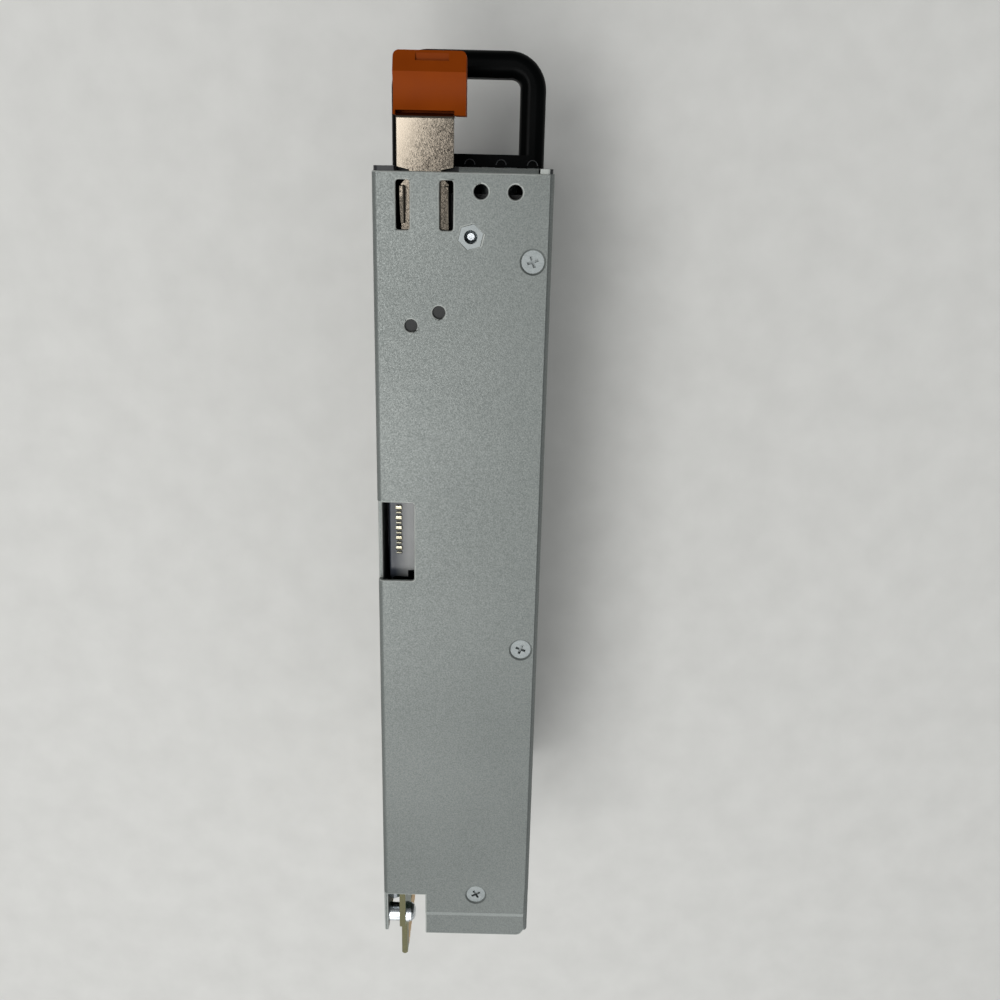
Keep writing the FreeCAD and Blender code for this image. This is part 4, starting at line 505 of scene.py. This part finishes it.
# Clear acrylic: glassy, with small bright glints.
CLEAR_PLASTIC = ClearMoulding("clear_acrylic", "#f4f8f8", 0.08)
# Frosted polycarbonate light pipes, tinted dull grey: the grey is painted shade, so that no glint shows in
# the dark holes round them.
PIPE_PAINTED_SHADE = ClearMoulding("frosted_polycarbonate_painted_shade", "#6b7472", 0.4, passes=0.6)
# Smoked polyester film: dark and slightly glossy, with a painted reflection that runs from dark to pale
# across it.
SMOKED_FILM = FilmWithPaintedReflection("smoked_polyester_film", "#33373e", 0.16)
# Matt paint on the board under the unit: a pale warm grey.
FLOOR_PAINT = PaintedBoard("painted_board", "#c8c7c3", 0.75)

FINISH_OF_SLOT = {
    "case_steel": CASE_STEEL,
    "painted_steel": BLACK_PAINT,
    "spring_steel": SPRING_STEEL,
    "bright_zinc": ZINC_PLATE,
    "black_plastic": BLACK_PLASTIC,
    "orange_plastic": ORANGE_PLASTIC,
    "board_laminate": BOARD,
    "gold_plate": GOLD_PLATE,
    "pin_brass": PIN_METAL,
    "clear_plastic": CLEAR_PLASTIC,
    "smoked_film": SMOKED_FILM,
    "capacitor_sleeve": CAPACITOR_SLEEVE,
    "heatsink_aluminium": ALUMINIUM,
    "ferrite": FERRITE,
    "copper_winding": ENAMELLED_COPPER,
    "yellow_plastic": YELLOW_PLASTIC,
    "relay_plastic": RELAY_PLASTIC,
    "fuse_ceramic": FUSE_CERAMIC,
    "lead_insulation": LEAD_SLEEVE,
}

FINISH_OF_NODE = {
    "case_screws": SCREW_ZINC,
    "clinch_standoff": SCREW_ZINC,
    "latch_rivets": RIVET_SHADE,
    "light_pipes": PIPE_PAINTED_SHADE,
    "indicator_board": BOARD_IN_PAINTED_SHADE,
}


def dress_nodes() -> None:
    """Gives every CAD node the finish of its material slot."""
    for name, node in frame["nodes"].items():
        finish = FINISH_OF_NODE.get(name) or FINISH_OF_SLOT[SLOTS[name]]
        node.material_slots[0].material = finish.material()
        log.info("%s wears %s", name, finish.name)


def body_of(node: str) -> str:
    """Gives the name of the body that a CAD node rides on."""
    return frame["nodes"][node]["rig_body"]


@dataclass(frozen=True)
class Place:
    """A box in millimetres."""

    low: tuple[float, float, float]
    high: tuple[float, float, float]

    def holds(self, place: Vector) -> bool:
        """Says whether a place in metres is inside the box."""
        return all(low <= value / MM <= high for low, value, high in zip(self.low, place, self.high))


@dataclass(frozen=True)
class Patch(Place):
    """A box in millimetres, and the finish that a piece's faces have inside it."""

    finish: Finish


def with_soft_edges(
    node: str,
    width: float,
    edge: Finish,
    steps: int = 2,
    patches: tuple[Patch, ...] = (),
    left_sharp: tuple[Place, ...] = (),
    free: bool = False,
) -> bpy.types.Object:
    """Makes a copy of a CAD node with its sharp edges broken, which stands for it.

    Args:
        node: the CAD node.
        width: how wide the broken edges are, in millimetres.
        edge: the finish of the broken edges.
        steps: how many faces go across an edge.
        patches: the places that have a finish of their own.
        left_sharp: the places whose edges stay as they are.
        free: whether the width stays the same beside short edges too.

    Returns:
        The piece.
    """
    source = frame["nodes"][node]
    mesh = bmesh.new()
    mesh.from_mesh(source.data)
    bmesh.ops.remove_doubles(mesh, verts=mesh.verts, dist=WELD * MM)
    bmesh.ops.dissolve_limit(mesh, angle_limit=math.radians(FLAT), verts=mesh.verts, edges=mesh.edges)
    weight = mesh.edges.layers.float.new("bevel_weight_edge")
    for line in mesh.edges:
        angle = math.degrees(line.calc_face_angle(math.pi))
        middle = (line.verts[0].co + line.verts[1].co) / 2
        line.smooth = angle < BEND_FACET
        line[weight] = float(angle > FOLD and not any(place.holds(middle) for place in left_sharp))
    finishes = (FINISH_OF_SLOT[SLOTS[node]], edge, *(patch.finish for patch in patches))
    for face in mesh.faces:
        face.smooth = True
        middle = face.calc_center_median()
        for number, patch in enumerate(patches, EDGE_SLOT + 1):
            if patch.holds(middle):
                face.material_index = number
    data = bpy.data.meshes.new(node + "_finished")
    mesh.to_mesh(data)
    mesh.free()
    piece = bpy.data.objects.new(node + "_finished", data)
    bpy.context.scene.collection.objects.link(piece)
    for finish in finishes:
        data.materials.append(finish.material())
    bevel = piece.modifiers.new("broken edges", "BEVEL")
    bevel.width = width * MM
    bevel.segments = steps
    bevel.limit_method = "WEIGHT"
    bevel.material = EDGE_SLOT
    bevel.use_clamp_overlap = not free
    even = piece.modifiers.new("even shading", "WEIGHTED_NORMAL")
    even.weight = 100
    even.keep_sharp = True
    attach(piece, body_of(node))
    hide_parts(node)
    log.info("%s stands for %s", piece.name, node)
    return piece


def skin(rows: int, columns: int) -> np.ndarray:
    """Joins a grid of points by squares to a tube, open at its first and last row.

    The square at row i and column j runs through (i, j), (i, j + 1), (i + 1, j + 1) and (i + 1, j), with
    j + 1 counted round.

    Args:
        rows: how many rows the grid has.
        columns: how many columns it has.

    Returns:
        The squares, as four point numbers each.
    """
    row = np.arange(rows - 1)[:, None]
    column = np.arange(columns)[None, :]
    next_column = (column + 1) % columns
    corners = (
        row * columns + column,
        row * columns + next_column,
        (row + 1) * columns + next_column,
        (row + 1) * columns + column,
    )
    return np.stack(corners, axis=-1).reshape(-1, 4)


@dataclass
class Surface:
    """A piece under way: grids of points in millimetres, joined to one mesh."""

    name: str
    finish: Finish
    points: list[np.ndarray] = field(default_factory=list)
    faces: list[list[int]] = field(default_factory=list)

    def sleeve(self, points: np.ndarray) -> None:
        """Adds a grid of points as a tube whose first and last rows are filled in.

        Args:
            points: an array of rows by columns by three.
        """
        rows, columns = points.shape[:2]
        start = sum(len(part) for part in self.points)
        self.points.append(points.reshape(-1, 3))
        self.faces.extend((skin(rows, columns) + start).tolist())
        first = np.arange(columns) + start
        self.faces.append(first[::-1].tolist())
        self.faces.append((first + (rows - 1) * columns).tolist())

    def make(self, body: str, slot: str, *replaced: str, angle: float = 35.0) -> bpy.types.Object:
        """Makes the piece.

        Args:
            body: the body that it rides on.
            slot: the record's slot for its finish; not used.
            replaced: the CAD nodes that it stands for.
            angle: the angle in degrees past which an edge is drawn sharp.

        Returns:
            The piece.
        """
        data = bpy.data.meshes.new(self.name)
        data.from_pydata((np.concatenate(self.points) * MM).tolist(), [], self.faces)
        mesh = bmesh.new()
        mesh.from_mesh(data)
        bmesh.ops.remove_doubles(mesh, verts=mesh.verts, dist=WELD * MM)
        bmesh.ops.recalc_face_normals(mesh, faces=mesh.faces)
        mesh.to_mesh(data)
        mesh.free()
        data.materials.append(self.finish.material())
        data.shade_smooth()
        data.set_sharp_from_angle(angle=math.radians(angle))
        piece = bpy.data.objects.new(self.name, data)
        bpy.context.scene.collection.objects.link(piece)
        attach(piece, body)
        if replaced:
            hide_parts(*replaced)
        log.info("made %s, %d faces", self.name, len(data.polygons))
        return piece


def box_mm(node: str) -> tuple[np.ndarray, np.ndarray]:
    """Gives a CAD node's lowest and highest corners in millimetres."""
    low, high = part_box(node)
    return np.array(low) / MM, np.array(high) / MM


def tube(path: np.ndarray, radius: float, sides: int) -> np.ndarray:
    """Carries a circle along a path.

    At each point the tangent is the run from the point before to the point after. The circle lies across
    it, on two directions: one square to the tangent and to a fixed side, and one square to both.

    Args:
        path: the path's points, an array of rows by three.
        radius: the circle's radius.
        sides: how many points the circle has.

    Returns:
        A grid with a row for each point of the path.
    """
    tangent = np.gradient(path, axis=0)
    tangent /= np.linalg.norm(tangent, axis=1, keepdims=True)
    side = np.eye(3)[np.argmin(np.abs(tangent).max(axis=0))]
    across = np.cross(tangent, side)
    across /= np.linalg.norm(across, axis=1, keepdims=True)
    upward = np.cross(tangent, across)
    turn = np.linspace(0, 2 * np.pi, sides, endpoint=False)[None, :, None]
    return path[:, None] + radius * (np.cos(turn) * across[:, None] + np.sin(turn) * upward[:, None])


@dataclass
class Studio:
    """The floor, the lights and the camera.

    Sizes are in metres, apart from the lens and its sensor, which are in millimetres.
    """

    eye: tuple[float, float, float] = (0.0093, 0.0989, 0.3055)
    right: tuple[float, float, float] = (0.99969, 0.02217, -0.0074)
    up: tuple[float, float, float] = (-0.02337, 0.94825, -0.3166)
    lens: float = 36.0
    sensor: float = 36.0
    clip: tuple[float, float] = (0.01, 50.0)
    floor_size: float = 8.0
    sky: tuple[float, float] = (0.93, 0.22)
    sky_colour: str = "#dfe2e4"
    backdrop: str = "#cdccc8"

    def build(self) -> None:
        """Makes everything round the unit."""
        self.make_camera()
        self.make_floor()
        self.make_world()
        self.make_lamps()

    def make_camera(self) -> None:
        """Puts the camera over the latch end, looking down and towards the card edge."""
        data = bpy.data.cameras.new("camera")
        data.lens, data.sensor_width = self.lens, self.sensor
        data.clip_start, data.clip_end = self.clip
        camera = bpy.data.objects.new("camera", data)
        across, upward = Vector(self.right).normalized(), Vector(self.up).normalized()
        turn = Matrix((across, upward, across.cross(upward))).transposed()
        camera.matrix_world = Matrix.Translation(self.eye) @ turn.to_4x4()
        bpy.context.scene.collection.objects.link(camera)
        bpy.context.scene.camera = camera

    def make_floor(self) -> None:
        """Lays a wide pale board under the unit."""
        half = self.floor_size / 2
        corners = [(-half, -half, 0), (half, -half, 0), (half, half, 0), (-half, half, 0)]
        data = bpy.data.meshes.new("floor")
        data.from_pydata(corners, [], [(0, 1, 2, 3)])
        floor = bpy.data.objects.new("floor", data)
        bpy.context.scene.collection.objects.link(floor)
        data.materials.append(FLOOR_PAINT.material())

    def make_world(self) -> None:
        """Surrounds the unit with a soft pale light, stronger from the card end, and a plain backdrop."""
        world = bpy.data.worlds.new("world")
        world.use_nodes = True
        tree = world.node_tree
        tree.nodes.clear()
        aim = add(tree, "SeparateXYZ", {0: add(tree, "TexCoord").outputs["Generated"]})
        level = add(
            tree, "MapRange", {0: aim.outputs[1], 1: -1.0, 2: 1.0, 3: self.sky[0], 4: self.sky[1]}
        )
        soft = add(tree, "Background", {"Color": linear(self.sky_colour), "Strength": level.outputs[0]})
        seen = add(tree, "Background", {"Color": linear(self.backdrop), "Strength": 1.0})
        eye = add(tree, "LightPath").outputs["Is Camera Ray"]
        both = add(tree, "MixShader", {0: eye, 1: soft.outputs[0], 2: seen.outputs[0]})
        add(tree, "OutputWorld", {"Surface": both.outputs[0]})
        bpy.context.scene.world = world

    def make_lamps(self) -> None:
        """Hangs a broad lamp past the card end, one over the case and one high on the latch's left."""
        self.lamp("broad", (0.0, -1.9, 1.2), size=1.4, power=9.5)
        self.lamp("overhead", (-0.2, -0.3, 1.0), size=0.4, power=2.9)
        self.lamp("left", (-0.3, 0.12, 1.0), size=0.38, power=3.4)

    def lamp(self, name: str, place: tuple[float, float, float], size: float, power: float) -> None:
        """Hangs one square lamp that points at the middle of the unit.

        Args:
            name: what it is called.
            place: where it hangs, in metres.
            size: its side, in metres.
            power: its power, in watts.
        """
        data = bpy.data.lights.new(name, "AREA")
        data.size, data.energy = size, power
        made = bpy.data.objects.new(name, data)
        made.location = place
        made.rotation_euler = (-Vector(place)).to_track_quat("-Z", "Y").to_euler()
        bpy.context.scene.collection.objects.link(made)


@dataclass
class SheetCase:
    """The folded case: its tray, cover and two end panels, with their edges broken.

    Sizes are in millimetres.
    """

    rim: float = 0.3
    rim_steps: int = 3
    edge_width: float = 0.12
    margin: float = 1.0
    seam_wide: float = 0.2
    sinks: tuple[tuple[float, float], ...] = ((15.15, 79.5), (15.15, -12.8), (5.3, -85.6))
    sink_reach: float = 3.2
    joggle: tuple[float, float] = (-93.2, -91.2)
    joggle_deep: float = 1.2
    bare_tab: tuple[float, float] = (-0.9, 15.8)
    tab_deep: float = 2.0
    skin_deep: float = 0.1

    def build(self) -> None:
        """Makes the sheets."""
        for node in ("side_cover", "connector_panel"):
            # their broken edges wear a pale painted highlight
            with_soft_edges(node, self.edge_width, EDGE_HIGHLIGHT)
        self.make_tray()
        self.make_end_panel()

    def make_tray(self) -> None:
        """Makes the tray: sharp at its seam and its screw sinks, with a painted highlight along its joggle.
        """
        low, high = box_mm("chassis_tray")
        under, over = low - self.margin, high + self.margin
        sharp = [Place((high[0] - self.seam_wide, *under[1:]), tuple(over))]
        for sink in self.sinks:
            near, far = np.array(sink) - self.sink_reach, np.array(sink) + self.sink_reach
            sharp.append(Place((*near, under[2]), (*far, over[2])))
        near, far = self.joggle
        under_step, over_step = high[2] - self.joggle_deep, high[2] + self.skin_deep
        # the joggle's slope wears a paler colour: a painted highlight
        step = Patch((low[0], near, under_step), (high[0], far, over_step), JOGGLE_HIGHLIGHT)
        # the tray's rims wear the pale painted edge highlight
        with_soft_edges(
            "chassis_tray", self.rim, EDGE_HIGHLIGHT, self.rim_steps, (step,), left_sharp=tuple(sharp), free=True
        )

    def make_end_panel(self) -> None:
        """Makes the painted panel, with its tab left bare and a painted highlight on the corner beside the
        tab.
        """
        low, high = box_mm("end_panel")
        over = high + self.margin
        left, right = self.bare_tab
        tab = Patch((left, low[1], high[2] - self.tab_deep), (right, *over[1:]), CASE_STEEL)
        # the corner beside the tab wears the pale edge colour: a painted highlight
        corner = Patch((right, low[1], high[2] - self.skin_deep), (high[0], *over[1:]), EDGE_HIGHLIGHT)
        with_soft_edges("end_panel", self.edge_width, BLACK_PAINT, patches=(tab, corner))


@dataclass
class Latch:
    """The spring blade with its orange thumb tab. Sizes are in millimetres."""

    blade_edge: float = 0.12
    tab_edge: float = 0.3
    tab_steps: int = 3

    def build(self) -> None:
        """Makes the blade and the tab."""
        with_soft_edges("latch_blade", self.blade_edge, SPRING_STEEL)
        with_soft_edges("latch_tab", self.tab_edge, ORANGE_PLASTIC, self.tab_steps)


@dataclass
class ServiceWindow:
    """The smoked film behind the window, and the contacts that stand through it.

    A nick is its width and its length. A dip is its reach and its depth. A contact's size is its width and
    its length. Its crown is how high the ellipse along its top is, and crown_end and narrow_end are shares.
    Sizes are in millimetres.
    """

    roll: float = 0.4
    arc_steps: int = 10
    thick: float = 0.3
    nick: tuple[float, float] = (1.5, 2.6)
    nick_slant: float = 0.05
    nick_clear: float = 1.0
    dip: tuple[float, float] = (2.0, 0.8)
    dip_steps: int = 9
    run_steps: int = 24
    count: int = 5
    pitch: float = 2.54
    long_size: tuple[float, float] = (1.5, 1.05)
    short_size: tuple[float, float] = (1.35, 0.5)
    short_step: float = 1.5
    crown: float = 0.7
    crown_end: float = 0.9
    narrow_end: float = 0.8
    blade_steps: int = 9

    def build(self) -> None:
        """Makes the film and the contacts."""
        self.make_film()
        self.make_contacts()

    def make_film(self) -> None:
        """Makes the film.

        Its section rises at the outer side, goes a quarter turn round the roll's centre, and runs flat to
        the inner side. It is carried along Y. Its -Y end sinks by the square of the way into the dip, and
        the nick in the corner there draws the flat's end back.
        """
        low, high = box_mm("window_film")
        turn = np.linspace(np.pi, np.pi / 2, self.arc_steps)
        arc_x = low[0] + self.roll * (1 + np.cos(turn))
        arc_z = high[2] - self.roll * (1 - np.sin(turn))
        flat = np.linspace(arc_x[-1], high[0], self.arc_steps)[1:]
        x = np.concatenate(([low[0]], arc_x, flat))
        z = np.concatenate(([low[2]], arc_z, np.full(len(flat), high[2])))
        reach, depth = self.dip
        wide, long = self.nick
        step = low[1] + long
        dip = np.linspace(low[1], low[1] + reach, self.dip_steps)
        run = np.linspace(step + self.nick_clear, high[1], self.run_steps)
        along = np.concatenate((dip, (step - self.nick_slant, step + self.nick_slant), run))
        sink = depth * np.clip(1 - (along - low[1]) / reach, 0, 1) ** 2
        weight = np.clip((z - low[2]) / (high[2] - low[2]), 0, 1)
        kept = np.where(along < step, (high[0] - wide - arc_x[-1]) / (high[0] - arc_x[-1]), 1.0)
        past = np.clip(x - arc_x[-1], 0, None)
        outer = np.stack(
            (
                (x - past)[None, :] + kept[:, None] * past[None, :],
                np.broadcast_to(along[:, None], (len(along), len(x))),
                z[None, :] - sink[:, None] * weight[None, :],
            ),
            axis=-1,
        )
        inward = np.array([0.0, 0.0, -self.thick])
        film = Surface("window_film_sheet", SMOKED_FILM)
        film.sleeve(np.concatenate((outer, (outer + inward)[:, ::-1]), axis=1))
        film.make("case", "smoked_film", "window_film")

    def make_contacts(self) -> None:
        """Makes the contacts: a long and a short blade for each place.

        A blade's top runs along Y as part of an ellipse over a flat back. It is highest at its +Y end, and
        its width grows evenly towards its -Y end.
        """
        low, high = box_mm("header_contacts")
        blades = Surface("header_contact_blades", PIN_METAL)
        middle = (low[0] + high[0]) / 2
        way = np.linspace(0, 1, self.blade_steps)
        back = np.full(self.blade_steps, low[2])
        top = high[2] - self.crown * (1 - np.sqrt(1 - way**2 * self.crown_end))
        for number in range(self.count):
            start = high[1] - number * self.pitch
            for (wide, long), step in ((self.long_size, 0.0), (self.short_size, self.short_step)):
                y = start - step - long * way
                half = wide / 2 * (self.narrow_end + (1 - self.narrow_end) * way)
                corners = ((-1, back), (-1, top), (1, top), (1, back))
                rows = [np.stack((middle + side * half, y, level), axis=-1) for side, level in corners]
                blades.sleeve(np.stack(rows, axis=1))
        blades.make("case", "pin_brass", "header_contacts", angle=50)


@dataclass
class Mouldings:
    """The black mouldings at the handle end. Sizes are in millimetres."""

    edges: tuple[tuple[str, float], ...] = (("handle", 0.35), ("ac_inlet", 0.25), ("fan_frame", 0.3))
    edge_steps: int = 3
    ring_places: tuple[float, ...] = (0.5, 7.75, 15.0)
    ring_radius: float = 1.15
    ring_fat: float = 0.12
    ring_set: float = 0.6
    ring_steps: int = 25
    ring_sides: int = 8

    def build(self) -> None:
        """Makes the handle, the inlet and the fan's frame."""
        for node, width in self.edges:
            with_soft_edges(node, width, BLACK_PLASTIC, self.edge_steps)
        self.make_foot_rings()

    def make_foot_rings(self) -> None:
        """Makes thin half rings on the handle's foot, pale as a painted highlight: a small circle carried
        along half a larger one.
        """
        low, high = box_mm("handle")
        rings = Surface("handle_foot_rings", RING_HIGHLIGHT)
        turn = np.linspace(0, np.pi, self.ring_steps)
        y = low[1] + self.ring_set + self.ring_radius * np.sin(turn)
        z = np.full_like(turn, high[2] + self.ring_fat / 2)
        for middle in self.ring_places:
            path = np.stack((middle + self.ring_radius * np.cos(turn), y, z), axis=-1)
            rings.sleeve(tube(path, self.ring_fat, self.ring_sides))
        rings.make("case", "black_plastic")


def main() -> None:
    """Builds every part of the scene."""
    logging.basicConfig(level=logging.INFO, format="%(name)s: %(message)s")
    bpy.context.scene.view_settings.view_transform = "Standard"
    dress_nodes()
    for part in (SheetCase(), Latch(), Mouldings(), ServiceWindow(), Studio()):
        part.build()
        log.info("built %s", type(part).__name__)


if __name__ == "__main__":
    main()
